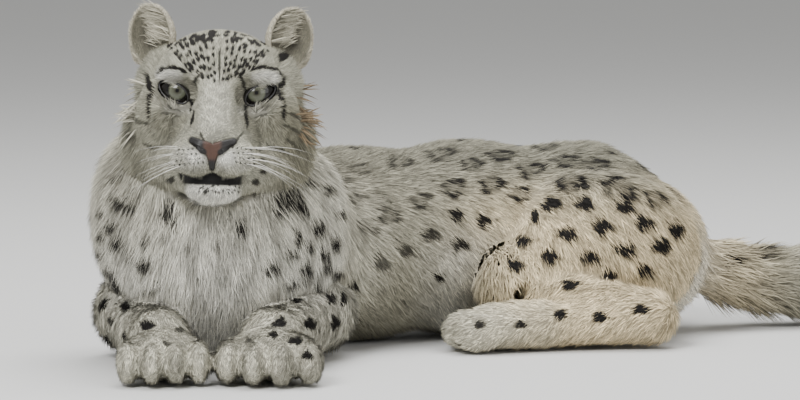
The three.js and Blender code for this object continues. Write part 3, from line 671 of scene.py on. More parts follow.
# Flank and haunch: solid black spots low down, rosettes with a smoky middle above them, and short
# faint streaks behind the shoulder. Here a 1 after the slant stands for a rosette.
flank_spots = (
    (483, 222, 6, 5.5, 0, 0, 1), (552, 205, 8, 5, 15, 0, 1), (568, 235, 8, 6, -10, 0, 1),
    (603, 227, 8, 6, 0, 0, 1), (644, 224, 8, 5.5, 0, 0, 0.95), (536, 219, 3, 6, 0, 0, 0.9),
    (456, 216, 6, 5, 0, 0, 0.85), (491, 185, 9, 7, 10, 1, 0.9), (520, 195, 8, 6, 0, 1, 0.9),
    (531, 171, 10, 6, 10, 1, 0.9), (571, 182, 11, 7, 0, 1, 0.9), (565, 162, 9, 4.5, 0, 1, 0.85),
    (619, 189, 13, 8, -15, 1, 0.9), (597, 168, 10, 5, -10, 1, 0.85), (453, 189, 9, 7, 0, 1, 0.8),
    (440, 155, 10, 5, 0, 1, 0.75), (399, 163, 9, 5, 0, 1, 0.65), (420, 201, 8, 6, 0, 1, 0.7),
    (388, 216, 8, 6, 0, 1, 0.65), (367, 228, 7, 5.5, 0, 1, 0.6), (500, 156, 10, 4, 0, 1, 0.85),
    (470, 165, 8, 5, 0, 1, 0.8), (545, 148, 9, 3, 0, 1, 0.8), (585, 205, 7, 5, 0, 0, 0.9),
    (625, 208, 8, 5, -10, 0, 0.9), (655, 200, 8, 6, -20, 1, 0.9), (660, 245, 8, 6, 0, 0, 0.9),
    (625, 250, 8, 5.5, 0, 0, 0.9), (590, 258, 8, 5.5, 0, 0, 0.9), (550, 258, 7, 5.5, 0, 0, 0.9),
    (524, 242, 6, 5, 0, 0, 0.9), (516, 266, 6, 5, 0, 0, 0.85), (645, 270, 7, 5, 0, 0, 0.85),
    (610, 276, 7, 4, 0, 0, 0.85), (570, 285, 7, 4, 0, 0, 0.85), (430, 235, 7, 5, 0, 0, 0.7),
    (405, 250, 7, 5, 0, 0, 0.65), (460, 245, 7, 5, 0, 0, 0.75), (380, 262, 6, 5, 0, 0, 0.6),
    (640, 310, 6, 4, 0, 0, 0.85), (600, 318, 6, 4, 0, 0, 0.85), (560, 315, 5, 4, 0, 0, 0.8),
    (520, 325, 5, 3, 0, 0, 0.8), (480, 325, 4, 3, 0, 0, 0.75), (675, 230, 6, 6, 0, 0, 0.9),
    (360, 170, 9, 4, 0, 1, 0.5), (338, 185, 8, 4, 0, 1, 0.5), (355, 200, 7, 4, 0, 1, 0.5),
)
for x, y, wide, high, angle, ring, strength in flank_spots:
    bolder = 1.5 if ring else 1.35
    spot(x, y, wide * bolder, high * bolder, angle, bool(ring), min(1, strength + 0.1))
for n in range(16):
    x = 315 + n * 5.5
    y = 158 + draw.uniform(0, 46)
    bar(x, y, x + 9, y + 5 + draw.uniform(-2, 5), 0.9, 0.4)

# The rest of the body: the same markings at the same spacing, small and solid on the head and near
# the ground, large and ringed elsewhere. They fill the flank and all that is out of sight. The front,
# the feet and the fold above the knee, whose place in the frame is given here, keep what they have.
knee_fold = {"left": 470, "right": 520, "top": 228, "bottom": 272}
front_ends = 350
tail_starts = 520
tries = 9000
skin_at = taken_up(coordinates(skin_mesh))
skin_normals = np.empty(len(skin_at) * 3)
skin_mesh.vertices.foreach_get("normal", skin_normals)
skin_normals = skin_normals.reshape(-1, 3)
centres = np.array([p.centre for p in patches])
chosen = []
for i in draw.permutation(len(skin_at))[:tries]:
    at, normal = skin_at[i], skin_normals[i]
    h = in_head(at[None])[0]
    if h[2] > -60 and h[1] < 30 and abs(h[0]) < 90 or at[2] < 14:
        continue
    apart = 34 if at[1] < 190 and at[2] > 190 else 44 if at[2] > 90 else 42
    if at[0] > tail_starts:
        apart = 42
    if np.min(np.linalg.norm(centres - at, axis=1)) < apart * 0.8:
        continue
    if chosen and np.min(np.linalg.norm(np.array(chosen) - at, axis=1)) < apart:
        continue
    place = at / 1000 + ground_point / 1000
    way = place - camera_at
    hit, seen, _, _ = skin.ray_cast(Vector(camera_at), Vector(way).normalized())
    in_sight = hit and (Vector(place) - seen).length < 0.006
    px = frame_wide / 2 + reach * np.dot(way, rightward) / np.dot(way, ahead)
    py = frame_high / 2 - reach * np.dot(way, above) / np.dot(way, ahead)
    if knee_fold["left"] < px < knee_fold["right"] and knee_fold["top"] < py < knee_fold["bottom"]:
        continue
    if in_sight and (px < front_ends or at[2] < 60):
        continue
    chosen.append(at)
    first = np.cross(normal, [0.3, -0.8, 0.5])
    first /= np.linalg.norm(first)
    second = np.cross(normal, first)
    small = at[2] < 80 or h[2] > -60
    size = draw.uniform(0.75, 1.15) * (7.5 if small else 14.5)
    second *= draw.uniform(0.6, 0.9)
    patches.append(Patch(at, normal, first * size, second * size, not small, 0.9))


def darkness(P):
    dark = np.zeros(len(P))
    for p in patches:
        near = np.nonzero(np.abs(P - p.centre).max(1) < p.reach)[0]
        if len(near):
            dark[near] = np.maximum(dark[near], p.darkness(P[near]))
    return dark


# The coat's ground colour: smoky grey above, cream along the flank and white below, with paler legs and
# neck, a darker crown and darker cheeks, the animal's left cheek darker still with painted shade, and long
# soft streaks of painted shade down the neck and chest. The bare skin of the lips and the nose is near
# black.
def level(*rgb):
    """Display colour in 0 to 255 as the linear colour that shaders use."""
    c = np.array(rgb, float) / 255
    return np.where(c <= 0.04045, c / 12.92, ((c + 0.055) / 1.055) ** 2.4)


smoky, slate = level(158, 154, 136), level(112, 110, 96)
cream, white = level(226, 207, 168), level(240, 238, 228)
black, bare_black = level(24, 21, 18), level(20, 18, 17)


def mixed(colour, other, amount):
    return colour * (1 - amount[:, None]) + other * amount[:, None]


def mottle(P, size):
    """Soft blotches of about a size in millimetres, from 0 to 1."""
    q = P / size
    return 0.5 + 0.25 * (
        np.sin(q[:, 0] * 1.7 + 2 * np.sin(q[:, 2] * 1.1)) * np.sin(q[:, 2] * 2.3 + np.sin(q[:, 1] * 1.9))
        + np.sin(q[:, 1] * 2.1 + 1.4 * np.sin(q[:, 0] * 1.3))
    )


def coat_colour(P, w):
    H = in_head(P)
    M = mirrored(H)
    colour = np.repeat(smoky[None], len(P), 0)
    trunk, head = w[:, 1], w[:, 0]
    neck = smooth(200, 130, P[:, 1]) * smooth(230, 160, P[:, 0])
    colour = mixed(colour, level(206, 202, 184), neck * (1 - head))
    colour = mixed(colour, level(160, 158, 142), head)
    side = smooth(150, 60, P[:, 2]) * smooth(180, 260, P[:, 0])
    flank = smooth(200, 110, P[:, 2]) * smooth(200, 330, P[:, 0]) * smooth(640, 500, P[:, 0])
    colour = mixed(colour, cream, 0.9 * flank * (1 - head))
    colour = mixed(colour, white, 0.7 * side * trunk)
    back = smooth(150, 205, P[:, 2]) * smooth(150, 240, P[:, 1])
    colour = mixed(colour, slate, 0.7 * back * (1 - head))
    front = smooth(140, 60, P[:, 1]) * smooth(230, 120, P[:, 2]) * trunk
    middle = smooth(70, 10, np.abs(P[:, 0] + 2))
    colour = mixed(colour, white, front * (0.25 + 0.45 * smooth(150, 70, P[:, 2]) + 0.15 * middle))
    colour = mixed(colour, level(214, 210, 190), 0.7 * (w[:, 3] + w[:, 6]))
    crown = smooth(20, 52, H[:, 2]) * smooth(-10, 20, H[:, 1]) * head
    colour = mixed(colour, level(122, 120, 105), 0.45 * crown)
    under_eye = smooth(5, -5, egg(M, (45, -20, -30), (20, 30, 17)))
    colour = mixed(colour, level(122, 119, 102), 0.6 * under_eye * head)
    # The cheeks are a darker grey on both sides; the extra darkness on the animal's left cheek is painted
    # shade, on the side away from the key lamp.
    cheek = smooth(48, 74, M[:, 0]) * smooth(10, -20, H[:, 2]) * head
    colour = mixed(colour, level(128, 124, 104), (0.5 + 0.25 * np.sign(H[:, 0])) * cheek)
    chin = smooth(-88, -96, H[:, 2]) * smooth(30, 22, M[:, 0]) * smooth(10, -20, H[:, 1])
    colour = mixed(colour, white, 0.85 * chin * head)
    for centre, radii, amount in (
        ((50, -14, 16), (14, 20, 5.5), 0.95), ((15, -82, -66), (8, 14, 5.5), 0.95),
        ((36, -22, -17), (16, 20, 5), 0.3), ((22, -78, -68), (20, 20, 12), 0.3),
        ((0, -50, -20), (16, 60, 40), 0.12),
    ):
        colour = mixed(colour, white, amount * smooth(6, -4, egg(M, centre, radii)) * head)
    rim = smooth(30, 22, np.linalg.norm((M - (40, -8, -1)) / (1.05, 1, 0.72), axis=1)) * head
    colour = mixed(colour, level(112, 108, 96), 0.35 * rim)
    below_eye = limb(M, (31, -14, -13), 1.5, (56, -4, 2), 1.2)
    colour = mixed(colour, white, 0.8 * smooth(2.6, 0, below_eye) * head)
    # Long soft streaks down the neck and chest: painted shade between clumps of hair.
    clump_shade = smooth(0.42, 0.8, mottle(P * (1, 1, 0.25), 10)) * np.maximum(neck, front) * (1 - head)
    freckles = 0.22 * (mottle(P, 4.5) - 0.5) * head
    return colour * ((0.9 + 0.2 * mottle(P, 26)) * (1 - 0.36 * clump_shade) + freckles)[:, None]


def nose_outline(M):
    flat = M * (1, 0, 1)
    wing = limb(flat, (5, 0, -57), 6.2, (20.5, 0, -49.5), 3.4)
    stem = limb(flat, (0, 0, -62), 5.6, (0, 0, -77), 2.2)
    return blend(3, wing, stem)


def bare_face(M):
    """How far a place is the bare black skin of the lips or of the bed of the nose."""
    top = -86.5 + 5.5 * np.exp(-((M[:, 0] / 9) ** 2))
    top += 4 * smooth(18, 32, M[:, 0]) - 6 * smooth(35, 45, M[:, 0])
    low = -93.2 + 5 * (M[:, 0] / 42) ** 4
    lips = smooth(1.2, -0.6, np.maximum(np.maximum(M[:, 2] - top, low - M[:, 2]), M[:, 0] - 44))
    return np.maximum(lips, smooth(1.0, -0.5, nose_outline(M))) * smooth(-40, -50, M[:, 1])


def shaded(colour, shade):
    """Colours made darker or lighter, all by one amount or each by its own."""
    return colour * np.reshape(shade, (-1, 1) if np.ndim(shade) else (1, 1))


def marked_colour(P, w, shade=1.0):
    H = in_head(P)
    M = mirrored(H)
    colour = mixed(coat_colour(P, w), black, np.minimum(1, 1.15 * darkness(P)))
    colour = mixed(colour, level(9, 8, 8), bare_face(M) * w[:, 0])
    along = P[:, 0] > tail_starts
    if along.any():
        gap = np.linalg.norm(P[along][:, None] - tail_points[None], axis=2)
        u = gap.argmin(1) / (tail_joints - 1)
        bands = smooth(0.35, 0.75, np.sin(u * 60 + 0.8 * np.sin(P[along][:, 2] / 9))) * smooth(0.3, 0.6, u)
        colour[along] = mixed(colour[along], black, 0.85 * bands * smooth(14, 34, P[along][:, 2]))
    return shaded(colour, shade)


# Eyes: a wet ball with a clear bulge in front, a pale grey-green iris with fine spokes, a dark rim
# and a small round pupil. They look straight out at the viewer. Each is a sphere pressed to the
# slant of its lids, with the rings of the iris drawn round the line of sight.
def wired(tree, kind, **inputs):
    """A new node with its inputs set or linked."""
    node = tree.nodes.new(kind)
    for name, value in inputs.items():
        socket = node.inputs[name.replace("_", " ")]
        if isinstance(value, bpy.types.NodeSocket):
            tree.links.new(value, socket)
        else:
            socket.default_value = value
    return node


def finish_of(name, colour, roughness):
    finish = bpy.data.materials.new(name)
    finish.use_nodes = True
    shader = finish.node_tree.nodes["Principled BSDF"]
    shader.inputs["Base Color"].default_value = (*colour, 1)
    shader.inputs["Roughness"].default_value = roughness
    return finish, finish.node_tree, shader


looking = -ahead + above * 0.06
looking /= np.linalg.norm(looking)
eyeball = np.diag([20.5, 16.5, eye_radius]) / 1000
iris_rings = (
    (0.13, (0.004, 0.004, 0.004)), (0.18, (0.04, 0.038, 0.026)), (0.36, (0.075, 0.078, 0.056)),
    (0.58, (0.1, 0.106, 0.074)), (0.68, (0.062, 0.066, 0.045)), (0.755, (0.006, 0.005, 0.005)),
)
for name, sign, (low, high) in zip(("eye_left", "eye_right"), (1, -1), eye_boxes):
    middle = np.array((low + high) / 2)
    ball = bmesh.new()
    bmesh.ops.create_uvsphere(ball, u_segments=72, v_segments=56, radius=1)
    facing_out = Vector((0, 0, 1)).rotation_difference(Vector(looking)).to_matrix()
    bmesh.ops.rotate(ball, verts=ball.verts, matrix=facing_out)
    _, axes = eye_frame(sign)
    axes = head_turn @ axes
    pressed = axes @ eyeball @ axes.T
    for v in ball.verts:
        at = pressed @ np.array(v.co)
        off_axis = np.linalg.norm(at - looking * (at @ looking)) * 1000
        bulge = 0.9 * float(smooth(10.5, 4, off_axis)) * (at @ looking > 0)
        v.co = Vector(middle + at + looking * bulge / 1000)
    mesh = bpy.data.meshes.new(name + "_ball")
    ball.to_mesh(mesh)
    ball.free()
    smoothed(mesh)
    made = piece(name + "_ball", mesh, name)
    finish, tree, shader = finish_of(name + "_iris", (0.2, 0.2, 0.15), 0.1)
    place = tree.nodes.new("ShaderNodeTexCoord")
    centred = tree.nodes.new("ShaderNodeMapping")
    centred.inputs["Location"].default_value = -middle
    tree.links.new(place.outputs["Object"], centred.inputs["Vector"])
    off_axis = tree.nodes.new("ShaderNodeVectorMath")
    off_axis.operation = "CROSS_PRODUCT"
    tree.links.new(centred.outputs["Vector"], off_axis.inputs[0])
    off_axis.inputs[1].default_value = looking
    distance = tree.nodes.new("ShaderNodeVectorMath")
    distance.operation = "LENGTH"
    tree.links.new(off_axis.outputs["Vector"], distance.inputs[0])
    spokes = wired(tree, "ShaderNodeTexNoise", Vector=centred.outputs["Vector"], Scale=700.0, Detail=3.0)
    broken = wired(tree, "ShaderNodeMapRange", Value=spokes.outputs["Fac"], To_Min=-0.0012, To_Max=0.0012)
    ring = tree.nodes.new("ShaderNodeMath")
    tree.links.new(distance.outputs["Value"], ring.inputs[0])
    tree.links.new(broken.outputs["Result"], ring.inputs[1])
    outward = wired(tree, "ShaderNodeMapRange", Value=ring.outputs["Value"], From_Max=0.0125)
    bands = wired(tree, "ShaderNodeValToRGB", Fac=outward.outputs["Result"])
    stops = bands.color_ramp.elements
    stops[0].position, stops[0].color = 0.0, (0.002, 0.002, 0.002, 1)
    stops[1].position, stops[1].color = 1.0, (0.006, 0.005, 0.004, 1)
    for at, colour in iris_rings:
        stop = stops.new(at)
        stop.color = (*colour, 1)
    tree.links.new(bands.outputs["Color"], shader.inputs["Base Color"])
    shader.inputs["Specular IOR Level"].default_value = 0.25
    shader.inputs["Coat Weight"].default_value = 0.3
    shader.inputs["Coat Roughness"].default_value = 0.03
    mesh.materials.append(finish)


# Lids: bare black skin, thick and wet along the edge, that hugs the ball and runs to a dark inner
# corner. Each pair is drawn as rings around the opening, from under the fur to behind the edge. The
# fine grain is shared with the nose.
def shared_effect(name, takes, gives):
    group = bpy.data.node_groups.new(name, "ShaderNodeTree")
    for label, kind in takes.items():
        group.interface.new_socket(label, in_out="INPUT", socket_type=kind)
    for label, kind in gives.items():
        group.interface.new_socket(label, in_out="OUTPUT", socket_type=kind)
    return group, group.nodes.new("NodeGroupInput").outputs, group.nodes.new("NodeGroupOutput").inputs


def placed(tree, group, **inputs):
    node = tree.nodes.new("ShaderNodeGroup")
    node.node_tree = group
    for name, value in inputs.items():
        if isinstance(value, bpy.types.NodeSocket):
            tree.links.new(value, node.inputs[name])
        else:
            node.inputs[name].default_value = value
    return node


skin_grain, taken, given = shared_effect(
    "skin_grain", {"Scale": "NodeSocketFloat"}, {"Height": "NodeSocketFloat"}
)
place = skin_grain.nodes.new("ShaderNodeTexCoord")
cells = wired(skin_grain, "ShaderNodeTexVoronoi", Vector=place.outputs["Object"], Scale=taken["Scale"])
skin_grain.links.new(cells.outputs["Distance"], given["Height"])
bare_skin, tree, shader = finish_of("bare_skin", tuple(level(24, 21, 20)), 0.42)
pores = placed(tree, skin_grain, Scale=900.0)
relief = wired(tree, "ShaderNodeBump", Height=pores.outputs["Height"], Strength=0.35, Distance=0.0006)
tree.links.new(relief.outputs["Normal"], shader.inputs["Normal"])
shader.inputs["Coat Weight"].default_value = 0.35
shader.inputs["Coat Roughness"].default_value = 0.25
lid_rings = (
    (3.6, -3.4), (2.8, -0.8), (1.9, 0.7), (0.9, 1.2), (0.1, 0.8), (-0.3, -0.4), (-0.4, -2.5), (-0.2, -8.0),
)
for side, sign in (("left", 1), ("right", -1)):
    middle, axes = eye_frame(sign)
    lids = bmesh.new()
    rings = []
    for away, proud in lid_rings:
        ring = []
        for k in range(around_eye):
            u, v = lid_edge(2 * math.pi * k / around_eye, away)
            forward = lid_swell(u, v) + proud
            at = head_at + head_turn @ (middle + axes @ np.array([u, v, forward]))
            ring.append(lids.verts.new(set_down(at)))
        rings.append(ring)
    for outer, inner in zip(rings, rings[1:]):
        for k in range(around_eye):
            lids.faces.new((outer[k - 1], outer[k], inner[k], inner[k - 1]))
    bmesh.ops.recalc_face_normals(lids, faces=lids.faces)
    mesh = bpy.data.meshes.new("lids_" + side)
    lids.to_mesh(mesh)
    lids.free()
    smoothed(mesh)
    mesh.materials.append(bare_skin)
    piece("lids_" + side, mesh)

# Nose: damp pebbled skin, brownish pink in the middle and black on the wings, with a comma-shaped
# nostril under each wing and a groove running down to the lip. It lies on the skin of the muzzle.
def nostril_line(flat):
    return limb(flat, (8.5, 0, -61), 2.3, (19.5, 0, -53.5), 1.1)


def nose_field(P):
    H = in_head(P)
    M = mirrored(H)
    flat = M * (1, 0, 1)
    from_skin = head_field(P) + 1
    pad = -blend(2.5, -nose_outline(M), -(from_skin - 3.2 + 1.2 * smooth(12, 22, M[:, 0])))
    nostril = np.maximum(nostril_line(flat), -0.6 - from_skin)
    groove = np.maximum(np.abs(H[:, 0]) - 0.6, -1.6 - from_skin) + 30 * smooth(-60, -56, H[:, 2])
    return np.maximum(scoop(0.8, scoop(1.0, pad, nostril), groove), -7 - from_skin)


def even_depth(P):
    return np.zeros(len(P))


nose_mesh = cover("nose_pad", ["nose"], 0.9, nose_field, even_depth)
smoothed(nose_mesh)
nose = piece("nose_pad", nose_mesh, "nose")
nose_skin, tree, shader = finish_of("nose_skin", (0.1, 0.08, 0.07), 0.5)
shader.inputs["Specular IOR Level"].default_value = 0.3
colour = tree.nodes.new("ShaderNodeVertexColor")
colour.layer_name = "markings"
pebbles = placed(tree, skin_grain, Scale=750.0)
relief = wired(tree, "ShaderNodeBump", Height=pebbles.outputs["Height"], Strength=0.5, Distance=0.0008)
tree.links.new(relief.outputs["Normal"], shader.inputs["Normal"])
tree.links.new(colour.outputs["Color"], shader.inputs["Base Color"])
shader.inputs["Coat Weight"].default_value = 0.2
shader.inputs["Coat Roughness"].default_value = 0.3
nose_mesh.materials.append(nose_skin)


def keep_colours(mesh, colours):
    kept = mesh.color_attributes.new("markings", "FLOAT_COLOR", "POINT")
    kept.data.foreach_set("color", np.hstack((colours, np.ones((len(colours), 1)))).ravel())


on_nose = mirrored(in_head(taken_up(coordinates(nose_mesh))))
dark = smooth(6.5, 11, on_nose[:, 0]) + smooth(-66, -71, on_nose[:, 2])
dark += smooth(1.8, 0, nostril_line(on_nose * (1, 0, 1)))
pink = np.repeat(level(70, 47, 37)[None], len(on_nose), 0)
keep_colours(nose_mesh, mixed(pink, bare_black, np.clip(dark, 0, 1)))

# Undercoat and hair: the markings are kept as a colour at each point of the skin and of every tuft, and one
# effect breaks that colour up into fine strands. The skin under the coat keeps them at half brightness, as
# painted shade deep between the tufts. The skin's unwrap is shared by its tufts.
fur_tone, taken, given = shared_effect(
    "fur_tone",
    {"Colour": "NodeSocketColor", "Grain": "NodeSocketFloat"},
    {"Colour": "NodeSocketColor", "Height": "NodeSocketFloat"},
)
place = fur_tone.nodes.new("ShaderNodeTexCoord")
strands = {"Vector": place.outputs["Object"], "Scale": taken["Grain"], "Detail": 4.0}
noise = wired(fur_tone, "ShaderNodeTexNoise", **strands)
tone = wired(fur_tone, "ShaderNodeMapRange", Value=noise.outputs["Fac"], To_Min=0.74, To_Max=1.24)
varied = wired(fur_tone, "ShaderNodeVectorMath")
varied.operation = "SCALE"
fur_tone.links.new(taken["Colour"], varied.inputs[0])
fur_tone.links.new(tone.outputs["Result"], varied.inputs["Scale"])
fur_tone.links.new(varied.outputs["Vector"], given["Colour"])
fur_tone.links.new(noise.outputs["Fac"], given["Height"])


def fur_finish(name, grain):
    finish, tree, shader = finish_of(name, (0.5, 0.5, 0.45), 0.75)
    colour = tree.nodes.new("ShaderNodeVertexColor")
    colour.layer_name = "markings"
    fur = placed(tree, fur_tone, Colour=colour.outputs["Color"], Grain=grain)
    tree.links.new(fur.outputs["Colour"], shader.inputs["Base Color"])
    shader.inputs["Specular IOR Level"].default_value = 0.25
    return finish, tree, shader, fur


undercoat_in_shade, tree, shader, fur = fur_finish("undercoat_in_shade", 420.0)
relief = wired(tree, "ShaderNodeBump", Height=fur.outputs["Height"], Strength=0.6, Distance=0.0012)
tree.links.new(relief.outputs["Normal"], shader.inputs["Normal"])
hair = fur_finish("hair", 160.0)[0]
skin_weights = weights(skin_at)
# The skin is painted at half the brightness of the coat: painted shade deep between the tufts.
keep_colours(skin_mesh, marked_colour(skin_at, skin_weights, 0.5))
skin_mesh.materials.append(undercoat_in_shade)


def laid_flat(made):
    """Unwraps a skin into even patches, which its tufts share."""
    bpy.context.view_layer.objects.active = made
    made.select_set(True)
    made.data.uv_layers.new(name="OFBake")
    bpy.ops.object.mode_set(mode="EDIT")
    bpy.ops.mesh.select_all(action="SELECT")
    bpy.ops.uv.smart_project(angle_limit=math.radians(66), island_margin=0.002)
    bpy.ops.object.mode_set(mode="OBJECT")
    made.select_set(False)


laid_flat(skin)


# The lie of the coat: back from the nose over the head, down the neck and chest, back along the
# trunk, down the legs to the toes and along the tail to its tip, with a slow wave all over.
def unit(v):
    return v / np.maximum(np.linalg.norm(v, axis=1), 1e-6)[:, None]


def lie(P, N, w):
    H = in_head(P)
    M = mirrored(H)
    side = np.sign(H[:, 0])
    away = unit(H - np.array([0, -104.0, -46.0]))
    sag = smooth(30, -40, H[:, 2]) * smooth(30, 62, M[:, 0])
    away = away + np.stack((0.1 * side * sag, 0.1 * sag, -0.95 * sag), 1)
    chin = smooth(-84, -94, H[:, 2])[:, None]
    away = away * (1 - chin) + np.stack((0.15 * side, 0.1 + 0 * side, -1 + 0 * side), 1) * chin
    head = away @ head_turn.T
    front = smooth(170, 100, P[:, 1]) * smooth(180, 110, P[:, 0])
    down = np.stack((P[:, 0] * 0.004, -0.25 + 0 * P[:, 0], -1 + 0 * P[:, 0]), 1)
    bend = smooth(150, 330, P[:, 0])
    drop = 0.2 + 0.75 * smooth(205, 110, P[:, 2])
    back = np.stack((0.75 + 0.25 * bend, 0.62 - 0.55 * bend, -drop), 1)
    trunk = down * front[:, None] + back * (1 - front[:, None])
    arm = np.stack((-0.2 * np.sign(P[:, 0]), -0.9 + 0 * front, -0.35 + 0 * front), 1)
    hand, thigh, shank, hind_foot = (
        np.tile(way, (len(P), 1))
        for way in ((0, -0.85, -0.5), (0.45, 0, -0.85), (-0.75, 0, -0.5), (-0.85, 0, -0.5))
    )
    near = np.linalg.norm(P[:, None] - tail_points[None, :-1], axis=2).argmin(1)
    tail = np.diff(tail_points, axis=0)[near]
    ways = [head, trunk, arm, hand, thigh, shank, hind_foot, tail]
    whole = sum(unit(way) * w[:, i : i + 1] for i, way in enumerate(ways))
    x, y, z = P.T
    whole += 0.12 * np.stack((np.sin(z / 17 + x / 31), np.sin(x / 23), np.sin(y / 19 + x / 13)), 1)
    return unit(whole - N * (whole * N).sum(1)[:, None])


# The coat: tufts of hair tapered to a point, rooted at random over the skin, closest on the face,
# where the hairs are finest, and longest on the tail and the ruff. Each piece is one joined mesh.
class Hide:
    """The triangles of a skin, with its normals and its unwrap, as arrays."""

    def __init__(self, made):
        mesh = made.data
        mesh.calc_loop_triangles()
        triangles = len(mesh.loop_triangles)
        self.points = taken_up(coordinates(mesh))
        self.normals = np.empty(len(self.points) * 3)
        mesh.vertices.foreach_get("normal", self.normals)
        self.normals = self.normals.reshape(-1, 3)
        self.corners = np.empty(triangles * 3, int)
        mesh.loop_triangles.foreach_get("vertices", self.corners)
        self.corners = self.corners.reshape(-1, 3)
        self.loops = np.empty(triangles * 3, int)
        mesh.loop_triangles.foreach_get("loops", self.loops)
        self.loops = self.loops.reshape(-1, 3)
        self.unwrap = np.empty(len(mesh.loops) * 2)
        mesh.uv_layers["OFBake"].data.foreach_get("uv", self.unwrap)
        self.unwrap = self.unwrap.reshape(-1, 2)
        a, b, c = (self.points[self.corners[:, i]] for i in range(3))
        self.areas = 0.5 * np.linalg.norm(np.cross(b - a, c - a), axis=1)
        self.middles = (a + b + c) / 3
        self.facing = unit(self.normals[self.corners].mean(1))

    def roots(self, share, count):
        """Roots at random over the triangles, drawn in proportion to their area and share."""
        odds = self.areas * np.clip(share, 0, None)
        picks = draw.choice(len(odds), count, p=odds / odds.sum())
        a, b = draw.random(count), draw.random(count)
        flip = a + b > 1
        a[flip], b[flip] = 1 - a[flip], 1 - b[flip]
        mix = np.stack((1 - a - b, a, b), 1)[:, :, None]
        P = (self.points[self.corners[picks]] * mix).sum(1)
        N = unit((self.normals[self.corners[picks]] * mix).sum(1))
        return P, N, (self.unwrap[self.loops[picks]] * mix).sum(1)


clump_size, clump_mix = 11, np.array([[12.9, 78.2, 37.7], [39.3, 11.1, 83.2], [73.1, 52.2, 9.1]])
# Tufts are painted darker at the root, rising to a little over their own colour at the tip: painted shade
# deep in the coat.
covers_at, root_shade, shade_lift_to_tip = 0.62, 0.62, 0.44
patch_radius = 0.0015
stations_of = {
    1: ((0.0, 1.0), (1.0, 0.0)),
    2: ((0.0, 1.0), (0.5, 0.85), (1.0, 0.0)),
    3: ((0.0, 0.9), (0.36, 1.0), (0.72, 0.62), (1.0, 0.0)),
}


def tufts(
    name, hide, share, count, wide, lift, longer=1.0,
    rings=1, sway=0.22, way=lie, length=coat_length, tone=marked_colour,
):
    """One joined mesh of three-sided tufts, each rooted in the skin and laid along its way."""
    P, N, uv = hide.roots(share, count)
    w = weights(P)
    D = way(P, N, w)
    S = np.cross(N, D)
    pull = np.sin(np.floor(P / clump_size) @ clump_mix) * 0.6
    jitter = draw.normal(0, sway, (count, 2))
    D = unit(D + S * (jitter[:, :1] + 0.16 * pull[:, :1]))
    S = unit(np.cross(N, D))
    L = length(P, w) * longer * draw.uniform(0.72, 1.18, count)
    rise = np.clip(lift + 0.09 * pull[:, 1] + draw.normal(0, 0.07, count), 0.06, 1.2)
    # A tuft takes the colour of the place that its outer half covers, so the spots keep their edges.
    shade = np.clip(np.exp(draw.normal(-0.04, 0.34, count)), 0.4, 1.7)
    shade *= 1 + 0.25 * pull[:, 1]
    colour = tone(P + D * (covers_at * L)[:, None], w, shade)
    half = wide * draw.uniform(0.75, 1.25, count) * (0.5 + 0.5 * smooth(3, 22, L) if rings > 1 else 1)
    stations = stations_of[rings]
    points, shades, facings = [], [], []
    for s, girth in stations:
        height = (L * s * np.sin(rise) * (1.15 - 0.45 * s))[:, None]
        onward = (L * s * np.cos(rise))[:, None]
        centre = P - N * (1.2 if s == 0 else 0) + N * height + D * onward
        centre[:, 2] -= 0.1 * L * s * s * smooth(10, 30, L)
        centre[:, 2] = np.maximum(centre[:, 2], 1.4)
        h = (half * girth)[:, None]
        ring = [centre] if girth == 0 else [centre + S * h, centre - S * h, centre + N * h * 0.7]
        points += ring
        # Darker towards the root: painted shade deep in the coat.
        shades += [colour * (root_shade + shade_lift_to_tip * s)] * len(ring)
        facings += [N + 0.6 * S, N - 0.6 * S, N + 0.1 * D][: len(ring)] if girth else [N + 0.3 * D]
    count_each = len(points)
    points = np.stack(points, 1).reshape(-1, 3)
    facings = unit(np.stack(facings, 1).reshape(-1, 3))
    faces = [(0, 1, 2)]
    for k in range(len(stations) - 2):
        for i in range(3):
            p, q = 3 * k + i, 3 * k + (i + 1) % 3
            faces += [(p, q + 3, q), (p, p + 3, q + 3)]
    last = 3 * (len(stations) - 2)
    faces += [(last + i, count_each - 1, last + (i + 1) % 3) for i in range(3)]
    faces = (np.array(faces)[None] + np.arange(count)[:, None, None] * count_each).reshape(-1, 3)
    colours = np.stack(shades, 1).reshape(-1, 3)
    turns = [2.1 * i for i in range(count_each)]
    spread = np.stack((np.cos(turns), np.sin(turns)), 1) * patch_radius
    places = (uv[:, None] + spread[None]).reshape(-1, 2)
    mesh = bpy.data.meshes.new(name)
    mesh.vertices.add(len(points))
    mesh.vertices.foreach_set("co", set_down(points).ravel())
    mesh.loops.add(faces.size)
    mesh.loops.foreach_set("vertex_index", faces.ravel())
    mesh.polygons.add(len(faces))
    mesh.polygons.foreach_set("loop_start", np.arange(len(faces)) * 3)
    mesh.polygons.foreach_set("use_smooth", np.ones(len(faces), bool))
    mesh.update(calc_edges=True)
    mesh.uv_layers.new(name="OFBake").data.foreach_set("uv", places[faces.ravel()].ravel())
    # The coat is lit as the body under it is, which is what makes it look soft.
    mesh.normals_split_custom_set_from_vertices(facings)
    keep_colours(mesh, colours)
    mesh.materials.append(hair)
    piece(name, mesh)


